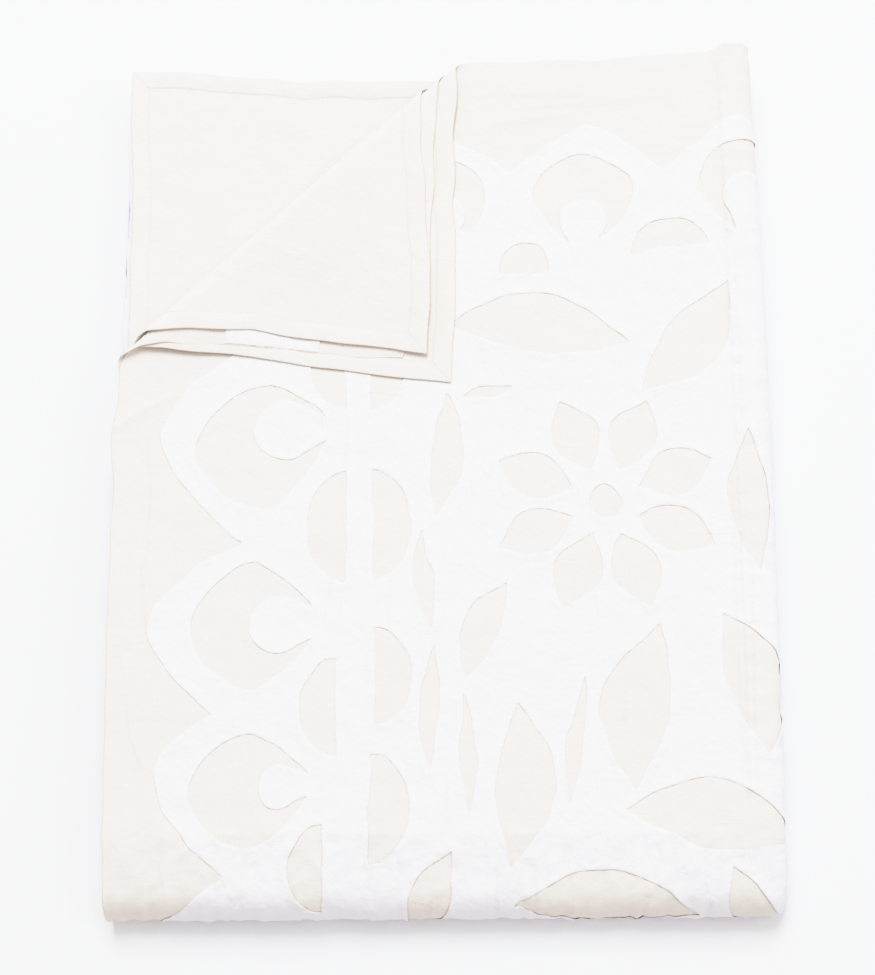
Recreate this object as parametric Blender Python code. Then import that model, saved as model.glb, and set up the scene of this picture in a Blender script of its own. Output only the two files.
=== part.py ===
"""Applique bedspread, folded into a flat pack with one corner turned back. Metres, +Z up.

The pack lies with its long sides along Y. Its front edge (-Y) and its right edge (+X) are
folds, and its back edge and its left edge show the hems. Two sheets make it: the ground
cloth, and the cut-work cloth that is sewn on the ground's face. Each is drawn flat, cut
out, and then led through the same four halvings, so both stay one unbroken sheet with
sixteen leaves a little apart. Three leaves are turned back at the back left corner.

Flat coordinates: s runs along the cloth's width and t along its length, both from the
corner of the top leaf. After folding, a is the distance from the pack's left side, b the
distance from its back edge, and h the height.
"""
import math

import bmesh
import bpy

MM = 0.001

# Pack and cloth
PACK_WIDTH = 0.535
PACK_LENGTH = 0.725
LEAF_PITCH = 0.0028
GROUND_SKIN = (0.25 * MM, 1.25 * MM)
CUTWORK_SKIN = (1.55 * MM, 2.55 * MM)
STACK = 16 * LEAF_PITCH

# The four halvings. Each starts at a place along the stack and uses up a width of cloth.
SIDE_FOLD = PACK_WIDTH - 4 * LEAF_PITCH
SIDE_BEND = 0.030
FRONT_FOLD = PACK_LENGTH - 8 * LEAF_PITCH
FRONT_BEND = 0.068
FIRST_BEND = 0.0045
SECOND_BEND = 0.013
LOWER_EDGE_INSET = 0.002
FIRST_FOLD = 2 * SIDE_FOLD + SIDE_BEND - LEAF_PITCH
SECOND_FOLD = 2 * FRONT_FOLD + FRONT_BEND - 2 * LEAF_PITCH - LOWER_EDGE_INSET
CLOTH_WIDTH = 2 * FIRST_FOLD + FIRST_BEND
CLOTH_LENGTH = 2 * SECOND_FOLD + SECOND_BEND

# Soft folded edges: where each slope starts, and how much of the height it takes at the edge
SIDE_CREASE = PACK_WIDTH - 0.029
FRONT_CREASE = PACK_LENGTH - 0.064
SIDE_DROP = 0.12
FRONT_DROP = 0.22
SIDE_BOW = 0.004

# Uneven height of the top of the pack (mm), at the mesh lines of a leaf
SIDE_LINES = (0, 45, 190, 350, 506)
SIDE_SWELL = (0, 0, 0, -0.7, 0.5)
BACK_LINES = (0, 45, 170, 340, 510, 661)
BACK_SWELL = (0, 0, 0, -0.5, 0.8, -0.3)

# Mesh lines of the hidden inner leaves, counted back from the folds, and steps of the bends
INNER_SIDE_LINES = (506, 260)
INNER_BACK_LINES = (661, 340)
SIDE_STEPS = 4
FIRST_STEPS = 2
FRONT_STEPS = 5
SECOND_STEPS = 3

# Turned-back corner: the turn of the crease's normal from a towards b, and its distance
CREASE_TURN = math.radians(47.8)
CREASE_DISTANCE = 0.2027
ROLL_HOLLOW = 0.0030
ROLL_BEND = math.pi * (ROLL_HOLLOW + 1.5 * LEAF_PITCH)
ROLL_STEPS = 4
SETTLE_LENGTH = 0.070
LYING_GAP = 0.0010

# Inward offsets of the hems (mm), which are not quite aligned in the stack. They move the points
# of the rim, those that lie less than RIM (m) from the cloth's edge.
RIM = 0.01
HEM_OFFSETS = {
    # leaf: back hem at SIDE_LINES and at the fold, left hem at BACK_LINES and at the fold
    "first": ((-20, -18, -5, 5, 2, 0), (-2, -2, 0, -3, -1, 0, 2)),
    "second": ((-2, 0, 16, 18, 10, 0), (9, 9, 10, 6, 5, 4, 4)),
    "third": ((6, 6, 22, 22, 12, 10), (16, 18, 22, 12, 8, 5, 4)),
    "fourth": ((0, 2, 16, 17, 12, 10), (1, 2, 5, 5, 5, 4, 2)),
}

# Cut-work cloth: its straight margins, and the scalloped ones of the top leaf (mm)
MARGIN_A = 0.031
MARGIN_B = 0.060
SIDE_POWER = 1.85
BACK_POWER = 1.3
SCALLOP_STEPS = 3
RUN_OUT = 0.04
# Valleys and peaks of the scalloped edges in turn: place along the edge and distance from it (mm)
SIDE_SCALLOPS = (
    (132, 96), (204, 38), (262, 98), (330, 39), (424, 106), (491, 33), (564, 83), (612, 39), (692, 95), (764, 36),
)
BACK_SCALLOPS = ((196, 107), (272, 74), (328, 106), (396, 66), (457, 109), (522, 61), (590, 107))

ARCHES = (
    # a, b, half depth, half length, turn (degrees); knob back, aside, radius; tips back, apart
    (118, 204, 50, 52, 180, 19, 2, 24, 45, 13),
    (128, 345, 62, 53, 180, 12, 15, 26, 46, 10),
    (118, 494, 51, 52, 180, 19, 2, 24, 45, 13),
    (117, 626, 49, 45, 180, 22, 4, 18, 45, 9),
    (270, 126, 34, 36, 270, 19, 0, 20, 36, 20),
    (389, 130, 37, 42, 270, 23, -1, 20, 41, 12),
    (527, 124, 42, 42, 270, 10, 0, 22, 42, 11),
)
HALF_OVALS = (
    # a, b, length, depth, turn (degrees, 0 bulges to +a)
    (189, 270, 88, 30, 180),
    (211, 270, 90, 29, 0),
    (190, 412, 92, 31, 180),
    (213, 412, 92, 29, 0),
    (184, 560, 78, 29, 180),
    (215, 536, 76, 29, 0),
    (174, 688, 68, 26, 180),
    (211, 640, 86, 31, 0),
    (339, 198, 42, 26, 270),
    (459, 179, 64, 26, 261),
)
LEAVES = (
    # a, b, length, width, turn (degrees), bend
    (348, 252, 150, 52, 8, -10),
    (468, 256, 116, 48, 128, -9),
    (268, 352, 104, 26, 95, -5),
    (306, 301, 42, 10, 166, 1),
    (256, 458, 82, 16, 84, 3),
    (260, 562, 98, 15, 92, 2),
    (287, 598, 92, 14, 88, -2),
    (304, 500, 84, 28, 112, 6),
    (519, 396, 116, 32, 88, 5),
    (325, 622, 130, 46, 92, -9),
    (375, 588, 100, 13, 98, 2),
    (430, 562, 132, 54, 100, 10),
    (507, 545, 116, 48, 74, -10),
    (480, 655, 138, 54, 10, -9),
    (396, 722, 146, 50, 4, -8),
    (513, 722, 76, 34, 62, 5),
    (262, 716, 88, 34, 108, 6),
)
ROSETTES = (
    # a, b, eye radius, petal start, petal length, petal width, petals
    (400, 396, 14, 29, 64, 38, 8),
)
CUTTER_HEIGHTS = (-5 * MM, 10 * MM)
NO_LENGTH = 1e-6
KNOB_NECK = math.radians(132)
FLANK_BOW = 5
OUTLINE_POWER = 1.75


def clear_scene():
    """Remove whatever the file holds."""
    for item in list(bpy.data.objects):
        bpy.data.objects.remove(item, do_unlink=True)


def cloth_material(name, colour, roughness):
    """A plain matt cloth colour."""
    material = bpy.data.materials.new(name)
    material.use_nodes = True
    shader = material.node_tree.nodes["Principled BSDF"]
    shader.inputs["Base Color"].default_value = (*colour, 1.0)
    shader.inputs["Roughness"].default_value = roughness
    shader.inputs["Metallic"].default_value = 0.0
    return material


def ramp(value, start, end):
    """Rise from 0 to 1 between start and end."""
    return min(1.0, max(0.0, (value - start) / (end - start)))


def along_table(value, stations, values):
    """Read a table in millimetres at a place in metres, straight between its stations."""
    place = value / MM
    for low, high, first, last in zip(stations, stations[1:], values, values[1:]):
        if place <= high:
            return (first + (last - first) * ramp(place, low, high)) * MM
    return values[-1] * MM


def power_arc(angle, across, along):
    """A point on an oval whose sides are flatter than an ellipse's."""
    c, s = math.cos(angle), math.sin(angle)
    x = math.copysign(abs(c) ** (2 / OUTLINE_POWER), c)
    y = math.copysign(abs(s) ** (2 / OUTLINE_POWER), s)
    return across * x, along * y


def placed(points, a, b, turn):
    """Turn points about the origin and move them to (a, b), from millimetres to metres."""
    c, s = math.cos(math.radians(turn)), math.sin(math.radians(turn))
    return [((a + x * c - y * s) * MM, (b + x * s + y * c) * MM) for x, y in points]


def bowed(start, end, steps):
    """Points after start on a line to end that bows out, away from the arch's middle."""
    points = []
    for k in range(1, steps + 1):
        u = k / steps
        x, y = (first + (last - first) * u for first, last in zip(start, end))
        points.append((x, y + math.copysign(4 * FLANK_BOW * u * (1 - u), y)))
    return points


def arch_opening(a, b, depth, length, turn, back, aside, radius, tip, apart, outer=9, inner=7, flank=2):
    """A C-shaped opening with two pointed tips, about a round knob from its open side."""
    points = [power_arc(math.pi * (k / (outer - 1) - 0.5), depth, length) for k in range(outer)]
    points += bowed((0, length), (-tip, aside + apart), flank)
    for k in range(inner):
        angle = KNOB_NECK * (1 - 2 * k / (inner - 1))
        points.append((radius * math.cos(angle) - back, aside + radius * math.sin(angle)))
    points += bowed((0, -length), (-tip, aside - apart), flank)[::-1]
    return placed(points, a, b, turn)


def half_oval(a, b, length, depth, turn, steps=8):
    """Half an oval, with its straight edge through (a, b)."""
    angles = [math.pi * k / (steps - 1) for k in range(steps)]
    points = [(depth * math.sin(angle), -length / 2 * math.cos(angle)) for angle in angles]
    return placed(points, a, b, turn)


def leaf_shape(a, b, length, width, turn, bend, steps=6):
    """A pointed leaf, bowed sideways by bend at its middle."""
    upper, lower = [], []
    for k in range(steps):
        u = k / (steps - 1)
        middle = bend * (1 - (2 * u - 1) ** 2)
        half = width / 2 * math.sin(math.pi * u)
        upper.append(((u - 0.5) * length, middle - half))
        lower.append(((u - 0.5) * length, middle + half))
    return placed(upper + lower[-2:0:-1], a, b, turn)


def rosette(a, b, eye, start, length, width, petals):
    """A ring of petals about a round eye."""
    shapes = [placed([power_arc(math.tau * k / 8, eye, eye) for k in range(8)], a, b, 0)]
    reach = start + length / 2
    for petal in range(petals):
        turn = 360 * (petal + 0.5) / petals
        petal_a = a + reach * math.cos(math.radians(turn))
        petal_b = b + reach * math.sin(math.radians(turn))
        shapes.append(leaf_shape(petal_a, petal_b, length, width, turn, 0))
    return shapes


def openings():
    """Outlines of all openings in the cut-work of the top leaf."""
    shapes = [arch_opening(*row) for row in ARCHES]
    shapes += [half_oval(*row) for row in HALF_OVALS]
    shapes += [leaf_shape(*row) for row in LEAVES]
    for row in ROSETTES:
        shapes += rosette(*row)
    return shapes


def scalloped_line(stops, power):
    """Points (place, depth) of a row of arches through the given valleys and peaks."""
    points = []
    for (first, depth), (last, next_depth) in zip(stops, stops[1:]):
        peak, valley = sorted((depth, next_depth))
        for k in range(SCALLOP_STEPS):
            share = k / SCALLOP_STEPS
            from_peak = share if depth == peak else 1 - share
            here = peak + (valley - peak) * from_peak ** power
            points.append(((first + (last - first) * share) * MM, here * MM))
    points.append((stops[-1][0] * MM, stops[-1][1] * MM))
    return points


def margin_cutters():
    """Outlines of the strips cut off beyond the scallops of the top leaf."""
    side = scalloped_line(SIDE_SCALLOPS, SIDE_POWER)
    back = scalloped_line(BACK_SCALLOPS, BACK_POWER)
    edge_a, edge_b = MARGIN_A - RUN_OUT, MARGIN_B - RUN_OUT
    near_b, last_b = side[0][0] - RUN_OUT, side[-1][0] + RUN_OUT
    near_a, last_a = back[0][0] - RUN_OUT, back[-1][0] + RUN_OUT
    side_strip = [(edge_a, near_b)] + [(depth, place) for place, depth in side] + [(edge_a, last_b)]
    back_strip = [(near_a, edge_b)] + back + [(last_a, edge_b)]
    return [side_strip, back_strip]


def leaf_lines(outer, inner, fold, bend, steps, first_fold, first_bend, first_steps, total):
    """Grid lines along one way of the flat cloth: leaf, bend, leaf, bend, leaf, bend, leaf."""
    lines = [value * MM for value in outer]
    lines.append(fold)
    lines += [fold + bend * k / steps for k in range(1, steps + 1)]
    lines += [2 * fold + bend - value * MM for value in inner]
    lines.append(first_fold)
    half = [first_fold + first_bend * k / first_steps for k in range(1, first_steps)]
    mirrored = [total - value for value in reversed(lines)]
    return lines + half + mirrored


def slab(name, s_lines, t_lines, skin):
    """A flat closed sheet over a grid of lines, between the two heights of skin."""
    mesh = bmesh.new()
    layers = []
    for height in skin:
        layers.append([[mesh.verts.new((s, t, height)) for t in t_lines] for s in s_lines])
    bottom, top = layers
    columns, rows = len(s_lines), len(t_lines)
    for i in range(columns - 1):
        for j in range(rows - 1):
            mesh.faces.new((top[i][j], top[i + 1][j], top[i + 1][j + 1], top[i][j + 1]))
            mesh.faces.new((bottom[i][j], bottom[i][j + 1], bottom[i + 1][j + 1], bottom[i + 1][j]))
    rim = [(i, 0) for i in range(columns)] + [(columns - 1, j) for j in range(1, rows)]
    rim += [(i, rows - 1) for i in range(columns - 2, -1, -1)] + [(0, j) for j in range(rows - 2, 0, -1)]
    for (i, j), (k, m) in zip(rim, rim[1:] + rim[:1]):
        mesh.faces.new((bottom[i][j], bottom[k][m], top[k][m], top[i][j]))
    return new_object(name, mesh)


def new_object(name, mesh):
    """Put a bmesh into the scene as an object."""
    data = bpy.data.meshes.new(name)
    mesh.to_mesh(data)
    mesh.free()
    item = bpy.data.objects.new(name, data)
    bpy.context.scene.collection.objects.link(item)
    return item


def prisms(name, outlines, low, high):
    """Upright closed prisms over the outlines, as one cutter."""
    mesh = bmesh.new()
    for outline in outlines:
        lower = [mesh.verts.new((a, b, low)) for a, b in outline]
        upper = [mesh.verts.new((a, b, high)) for a, b in outline]
        mesh.faces.new(lower[::-1])
        mesh.faces.new(upper)
        for k in range(len(outline)):
            n = (k + 1) % len(outline)
            mesh.faces.new((lower[k], lower[n], upper[n], upper[k]))
    bmesh.ops.recalc_face_normals(mesh, faces=mesh.faces)
    return new_object(name, mesh)


def cut_openings(sheet, outlines):
    """Cut the outlines through a flat sheet."""
    cutter = prisms("cutter", outlines, *CUTTER_HEIGHTS)
    cutter.hide_render = True
    modifier = sheet.modifiers.new("openings", "BOOLEAN")
    modifier.operation = "DIFFERENCE"
    modifier.object = cutter
    graph = bpy.context.evaluated_depsgraph_get()
    cut = bpy.data.meshes.new_from_object(sheet.evaluated_get(graph))
    sheet.modifiers.clear()
    sheet.data = cut
    bpy.data.objects.remove(cutter, do_unlink=True)


def on_leaf(s, t):
    """Leaf of a flat point with hems: its key, and its distances a and b in the pack."""
    far_s, far_t = s > CLOTH_WIDTH / 2, t > CLOTH_LENGTH / 2
    a = CLOTH_WIDTH - s if far_s else s
    b = CLOTH_LENGTH - t if far_t else t
    key = {(0, 0): "first", (1, 0): "second", (1, 1): "third", (0, 1): "fourth"}[(far_s, far_t)]
    return key, a, b


def misalign(s, t):
    """Move a point of the cloth's rim inwards or outwards, by the offset of its hem."""
    key, a, b = on_leaf(s, t)
    back_offsets, left_offsets = HEM_OFFSETS[key]
    on_back_hem, on_left_hem = b < RIM, a < RIM
    if on_back_hem:
        b += along_table(a, SIDE_LINES + (SIDE_FOLD / MM,), back_offsets)
    if on_left_hem:
        a += along_table(b, BACK_LINES + (FRONT_FOLD / MM,), left_offsets)
    return (CLOTH_WIDTH - a if s > CLOTH_WIDTH / 2 else a,
            CLOTH_LENGTH - b if t > CLOTH_LENGTH / 2 else b)


def bend_point(share, steps, radius):
    """A point on a half round of straight steps, from its top (share 0) to its foot (1)."""
    step = min(int(share * steps), steps - 1)
    part = share * steps - step
    start, end = (math.pi * k / steps for k in (step, step + 1))
    out = (1 - part) * math.sin(start) + part * math.sin(end)
    up = (1 - part) * math.cos(start) + part * math.cos(end)
    return radius * out, radius * up


def halve(place, height, fold, bend, stack, steps):
    """Fold a stack under itself: the part past the fold goes below, upside down."""
    if place <= fold:
        return place, height + stack
    if place >= fold + bend:
        return 2 * fold + bend - place, stack - height
    out, up = bend_point((place - fold) / bend, steps, height)
    return fold + out, stack + up


def fold_up(s, t, height):
    """Lead a flat point through the four halvings, to (a, b, h) in the pack."""
    a, h = halve(s, height, FIRST_FOLD, FIRST_BEND, LEAF_PITCH, FIRST_STEPS)
    b, h = halve(t, h, SECOND_FOLD, SECOND_BEND, 2 * LEAF_PITCH, SECOND_STEPS)
    a, h = halve(a, h, SIDE_FOLD, SIDE_BEND, 4 * LEAF_PITCH, SIDE_STEPS)
    b, h = halve(b, h, FRONT_FOLD, FRONT_BEND, 8 * LEAF_PITCH, FRONT_STEPS)
    return a, b, h


def turn_back(a, b, h):
    """Roll a point of the three upper leaves back over the pack, past the crease."""
    across, along = math.cos(CREASE_TURN), math.sin(CREASE_TURN)
    depth = CREASE_DISTANCE - a * across - b * along
    if depth <= 0:
        return a, b, h
    below = STACK - h
    if depth < ROLL_BEND:
        out, down = bend_point(depth / ROLL_BEND, ROLL_STEPS, ROLL_HOLLOW + below)
        h = STACK + ROLL_HOLLOW - down
    else:
        out = ROLL_BEND - depth
        settled = ramp(depth, ROLL_BEND, ROLL_BEND + SETTLE_LENGTH)
        h = STACK + 2 * ROLL_HOLLOW * (1 - settled) + LYING_GAP * settled + below
    return a + (depth - out) * across, b + (depth - out) * along, h


def settle(a, b, h):
    """Give the pack its soft uneven form, in the part's own axes."""
    keep = 1 - SIDE_DROP * ramp(a, SIDE_CREASE, PACK_WIDTH) - FRONT_DROP * ramp(b, FRONT_CREASE, PACK_LENGTH)
    swell = along_table(a, SIDE_LINES, SIDE_SWELL) + along_table(b, BACK_LINES, BACK_SWELL)
    share = max(0.0, 2 * h / STACK - 1)
    x = a - PACK_WIDTH / 2 + SIDE_BOW * math.sin(math.pi * ramp(b, 0, PACK_LENGTH)) * a / PACK_WIDTH
    return x, PACK_LENGTH / 2 - b, h * keep + swell * share


def turned_leaf(s, t):
    """Whether a flat point lies on a leaf that is turned back at the corner."""
    key, a, b = on_leaf(s, t)
    return key != "fourth" and a < SIDE_FOLD and b < FRONT_FOLD


def crease_lines(mesh):
    """Cut the turned leaves along the roll, so that it bends on parallel lines."""
    for far_s, far_t in ((0, 0), (1, 0), (1, 1)):
        depths = [ROLL_BEND * step / ROLL_STEPS for step in range(ROLL_STEPS + 1)]
        for depth in depths + [ROLL_BEND + SETTLE_LENGTH]:
            distance = CREASE_DISTANCE - depth
            normal = [math.cos(CREASE_TURN), math.sin(CREASE_TURN), 0.0]
            point = [distance * normal[0], distance * normal[1], 0.0]
            if far_s:
                normal[0], point[0] = -normal[0], CLOTH_WIDTH - point[0]
            if far_t:
                normal[1], point[1] = -normal[1], CLOTH_LENGTH - point[1]
            cut_leaf(mesh, far_s, far_t, point, normal)


def cut_leaf(mesh, far_s, far_t, point, normal):
    """Cut the faces of one hemmed leaf along a line."""
    faces = []
    for face in mesh.faces:
        middle = face.calc_center_median()
        on_s = middle.x > CLOTH_WIDTH - SIDE_FOLD if far_s else middle.x < SIDE_FOLD
        on_t = middle.y > CLOTH_LENGTH - FRONT_FOLD if far_t else middle.y < FRONT_FOLD
        if on_s and on_t:
            faces.append(face)
    edges = list({edge for face in faces for edge in face.edges})
    verts = list({vert for face in faces for vert in face.verts})
    bmesh.ops.bisect_plane(mesh, geom=verts + edges + faces, plane_co=point, plane_no=normal, dist=NO_LENGTH)


def fold_sheet(sheet):
    """Turn a flat cut sheet into its folded form."""
    mesh = bmesh.new()
    mesh.from_mesh(sheet.data)
    for vert in mesh.verts:
        vert.co.x, vert.co.y = misalign(vert.co.x, vert.co.y)
    crease_lines(mesh)
    bmesh.ops.triangulate(mesh, faces=mesh.faces)
    for vert in mesh.verts:
        s, t, height = vert.co
        a, b, h = fold_up(s, t, height)
        if turned_leaf(s, t):
            a, b, h = turn_back(a, b, h)
        vert.co = settle(a, b, h)
    bmesh.ops.reverse_faces(mesh, faces=mesh.faces)
    mesh.to_mesh(sheet.data)
    mesh.free()


def centre_on_floor(sheets):
    """Move the sheets so that the whole stands centred on the origin, on z = 0."""
    points = [vert.co for sheet in sheets for vert in sheet.data.vertices]
    lows = [min(point[axis] for point in points) for axis in range(3)]
    highs = [max(point[axis] for point in points) for axis in range(3)]
    shift = (-(lows[0] + highs[0]) / 2, -(lows[1] + highs[1]) / 2, -lows[2])
    for sheet in sheets:
        for vert in sheet.data.vertices:
            vert.co = [vert.co[axis] + shift[axis] for axis in range(3)]


def main():
    clear_scene()
    s_lines = leaf_lines(SIDE_LINES, INNER_SIDE_LINES, SIDE_FOLD, SIDE_BEND, SIDE_STEPS,
                         FIRST_FOLD, FIRST_BEND, FIRST_STEPS, CLOTH_WIDTH)
    t_lines = leaf_lines(BACK_LINES, INNER_BACK_LINES, FRONT_FOLD, FRONT_BEND, FRONT_STEPS,
                         SECOND_FOLD, SECOND_BEND, SECOND_STEPS, CLOTH_LENGTH)
    ground = slab("ground_cloth", s_lines, t_lines, GROUND_SKIN)

    inner_s = [MARGIN_A] + s_lines[1:-1] + [CLOTH_WIDTH - MARGIN_A]
    inner_t = [MARGIN_B] + t_lines[2:-2] + [CLOTH_LENGTH - MARGIN_B]
    cutwork = slab("cutwork_cloth", inner_s, inner_t, CUTWORK_SKIN)
    cut_openings(cutwork, openings())
    cut_openings(cutwork, margin_cutters())

    ground.data.materials.append(cloth_material("natural cotton", (0.88, 0.85, 0.79), 0.9))
    cutwork.data.materials.clear()
    cutwork.data.materials.append(cloth_material("white cotton", (0.93, 0.93, 0.95), 0.85))
    for sheet in (ground, cutwork):
        fold_sheet(sheet)
    centre_on_floor((ground, cutwork))


main()
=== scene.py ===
"""Looks of the folded applique bedspread: both cloths, their sewing, the light and the camera.

The two sheets are drawn flat in fine triangles, given their thickness, hems, turned edges
and wrinkles there, and then led through the same folds as the solids that they replace.

Flat coordinates: s runs along the cloth's width and t along its length, both from the
corner of the top leaf. After folding, a is the distance from the pack's left side, b the
distance from its back edge, and h the height. Metres, unless a table says millimetres.
"""

import math

import bpy
import numpy as np
from mathutils import Matrix, Vector
from mathutils.geometry import delaunay_2d_cdt
from mathutils.kdtree import KDTree


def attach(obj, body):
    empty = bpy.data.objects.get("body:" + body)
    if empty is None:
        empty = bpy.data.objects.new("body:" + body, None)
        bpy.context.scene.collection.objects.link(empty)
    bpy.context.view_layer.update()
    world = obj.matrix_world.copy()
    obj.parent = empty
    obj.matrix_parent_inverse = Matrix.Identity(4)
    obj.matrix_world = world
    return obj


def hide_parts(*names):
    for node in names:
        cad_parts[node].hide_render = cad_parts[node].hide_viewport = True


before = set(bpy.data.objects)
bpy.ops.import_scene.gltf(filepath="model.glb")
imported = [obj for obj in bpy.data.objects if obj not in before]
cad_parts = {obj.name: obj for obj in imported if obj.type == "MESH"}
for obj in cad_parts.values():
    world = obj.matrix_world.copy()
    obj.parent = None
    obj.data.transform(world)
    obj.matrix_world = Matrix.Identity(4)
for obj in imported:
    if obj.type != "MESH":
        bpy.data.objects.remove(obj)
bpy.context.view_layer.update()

MM = 0.001

# Pack and cloth, as in the part's source
PACK_WIDTH = 0.535
PACK_LENGTH = 0.725
LEAF_PITCH = 0.0028
STACK = 16 * LEAF_PITCH
PACK_SHIFT = (-0.00035, -0.00067, -0.00020)

# The four halvings, as in the part's source
SIDE_FOLD = PACK_WIDTH - 4 * LEAF_PITCH
SIDE_BEND = 0.030
FRONT_FOLD = PACK_LENGTH - 8 * LEAF_PITCH
FRONT_BEND = 0.068
FIRST_BEND = 0.0045
SECOND_BEND = 0.013
LOWER_EDGE_INSET = 0.002
FIRST_FOLD = 2 * SIDE_FOLD + SIDE_BEND - LEAF_PITCH
SECOND_FOLD = 2 * FRONT_FOLD + FRONT_BEND - 2 * LEAF_PITCH - LOWER_EDGE_INSET
CLOTH_WIDTH = 2 * FIRST_FOLD + FIRST_BEND
CLOTH_LENGTH = 2 * SECOND_FOLD + SECOND_BEND

# Soft folded edges
SIDE_CREASE = PACK_WIDTH - 0.029
FRONT_CREASE = PACK_LENGTH - 0.064
SIDE_DROP = 0.12
FRONT_DROP = 0.22
SIDE_BOW = 0.004
FRONT_SAG = 0.30
SIDE_SAG = 0.15
CREASE_ROUNDING = 0.12

# Uneven height of the top of the pack: place and height (mm)
SIDE_SWELL = ((190, 0), (350, -0.7), (506, 0.5))
BACK_SWELL = ((170, 0), (340, -0.5), (510, 0.8), (661, -0.3))

# Lower folds that stand out at the right side: b from, b to, reach (mm)
LOWER_BULGES = (
    (212, 262, 3.2), (303, 372, 3.8), (506, 560, 3.4), (566, 606, 2.8), (626, 645, 2.0), (684, 716, 3.0),
)
BULGE_START = (-6, 8)
BULGE_END = (-8, 6)
BULGE_SIDE = (PACK_WIDTH - 0.07, PACK_WIDTH - 0.01)
LOWER_HALF = (7.4 * LEAF_PITCH, 8.2 * LEAF_PITCH)

# How far the twelve lower leaves lie in from the back edge: place and inset (mm)
LOWER_BACK = (
    (0, 0), (60, 3), (110, 8), (150, 12), (243, 15), (300, 14), (420, 8), (490, 3), (520, 0), (560, 0),
)
LOWER_BACK_REACH = (0.005, 0.09)
LOWER_TWELVE = (11.95 * LEAF_PITCH, 12.05 * LEAF_PITCH)
BELOW_FOUR = (3.5 * LEAF_PITCH, 4.5 * LEAF_PITCH)
PUCKER = 0.0008
PUCKER_LENGTH = 0.015
PUCKER_DRIFT = 3.1
PUCKER_REACH = (0.004, 0.05)
# How far the twelve lower leaves stand out at the left side: place and reach (mm)
LOWER_LEFT = ((0, 0), (60, 0.2), (100, 0.5), (240, 0.7), (300, 0.6), (360, 0.4), (725, 0.4))

# Turned-back corner
CREASE_TURN = math.radians(47.8)
CREASE_DISTANCE = 0.2027
ROLL_HOLLOW = 0.0030
ROLL_BEND = math.pi * (ROLL_HOLLOW + 1.5 * LEAF_PITCH)
ROLL_LIFT = 0.0006
SETTLE_LENGTH = 0.085
LYING_GAP = -0.0018
# How much closer the flap's leaves lie than in the pack: leaves below the first one's face, metres
FLAP_CLOSER = ((0, 0), (0.93, 0), (1.07, 0.0003), (1.77, 0.0003), (2.17, 0.0025), (3, 0.0025))
FLAP_COVER = (-0.045, -0.025)
CURL_REACH = 0.011
CURL_DROP = 0.0013
CURL_END = (0.202, 0.232)

# The hemmed quarters of the cloth, from the top leaf down: is it past the middle along s, and along t
QUARTERS = {"first": (False, False), "second": (True, False), "third": (True, True), "fourth": (False, True)}
# Inward offsets of their hems: place along the hem and offset (mm)
BACK_HEMS = {
    "first": ((0, -20), (69, -17), (150, -9), (215, -3), (268, -2), (292, 5), (407, 6), (498, 2),
              (506, 0), (511, -5), (531, -6), (556, -4), (590, 0), (620, 0)),
    "second": ((0, 22), (22, 15), (69, 7), (158, 9.4), (232, 13.7), (290, 14), (350, 12), (506, 8), (620, 0)),
    "third": ((0, 2), (69, 4), (158, 16.5), (232, 27), (262, 28), (330, 24), (506, 14), (620, 10)),
    "fourth": ((0, 0), (39, 1), (108, 10), (148, 14), (243, 18), (300, 17), (506, 12), (620, 10)),
}
LEFT_HEMS = {
    "first": ((0, -8), (30, -6), (71, -4), (105, -1.5), (147, 2), (220, 4.5), (250, 3), (271, 0),
              (302, 0), (330, -4), (388, -2), (512, -2), (621, -1), (661, 0), (800, 2)),
    "second": ((0, 10), (29, 8.8), (71, 8.7), (105, 9.5), (147, 10.3), (219, 9.3), (240, 4),
               (256, -4), (290, 2), (400, 5), (661, 4), (800, 4)),
    "third": ((0, 14.7), (29, 17.9), (71, 18.7), (105, 20.5), (147, 24.4), (200, 21), (235, 17),
              (262, 10), (340, 8), (661, 5), (800, 4)),
    "fourth": ((0, 1), (46, 1), (79, 3), (118, 5), (169, 4), (254, 6), (300, 5), (661, 2), (800, 2)),
}
HEM_HOLD = 0.020
HEM_REACH = 0.120
TOP_HEM_REACH = 0.065
HEM_WOBBLE = 0.0005
HEM_WOBBLE_LENGTH = 0.045

# Shortest and longest wave of a random swell, as shares of its length
WAVE_LENGTHS = (0.65, 1.5)
# Random swells: height (mm), length and seed
PACK_SWELL = (0.35, 0.16, 21)
LEAF_SWELL = (0.07, 0.055, 31)
SEEN_SWELLS = ((0.22, 0.10, 32), (0.13, 0.030, 33))
EDGE_PUCKER = (0.16, 0.0075, 41)
FIELD_PUCKER = (0.05, 0.013, 42)
# Puckers of the bends: height at the front and at the side (mm), stretch of s and t, length, seed
BEND_PUCKERS = (
    (0.38, 0.16, 1.0, 1.0, 0.019, 34),
    (0.46, 0.00, 2.2, 0.5, 0.032, 35),
    (0.00, 0.28, 0.5, 1.6, 0.026, 36),
)

# Where the top leaf's bends start and end, and where other forms start and end
FRONT_BENT = ((0.640, 0.674), (0.738, 0.768))
SIDE_BENT = ((0.500, 0.512), (0.548, 0.565))
FLAT_A = (0.50, 0.56)
FLAT_B = (0.69, 0.75)
BARE_REACH = (-0.01, 0.02)
BARED_CORNER = (0.19, 0.24)
HIDDEN_REACH = (0.38, 0.46)

# Real thicknesses, as heights above the leaf's lower bound
GROUND_CLOTH = 0.00075
GROUND_FACE = 0.00105
HEM_WIDTH = 0.016
HEM_FACE = 0.00140
HEM_CLOTH = 0.00115
HEM_STEP = 0.0008
HEM_SLOPE = 0.015
RIM_RADIUS = 0.0009
RIM_THINNEST = 0.09
CUTWORK_GAP = 0.00010
BENT_GAP = 0.00030
GATHER_REACH = (0.001, 0.009)
PUCKER_BELOW = 0.3
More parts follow.
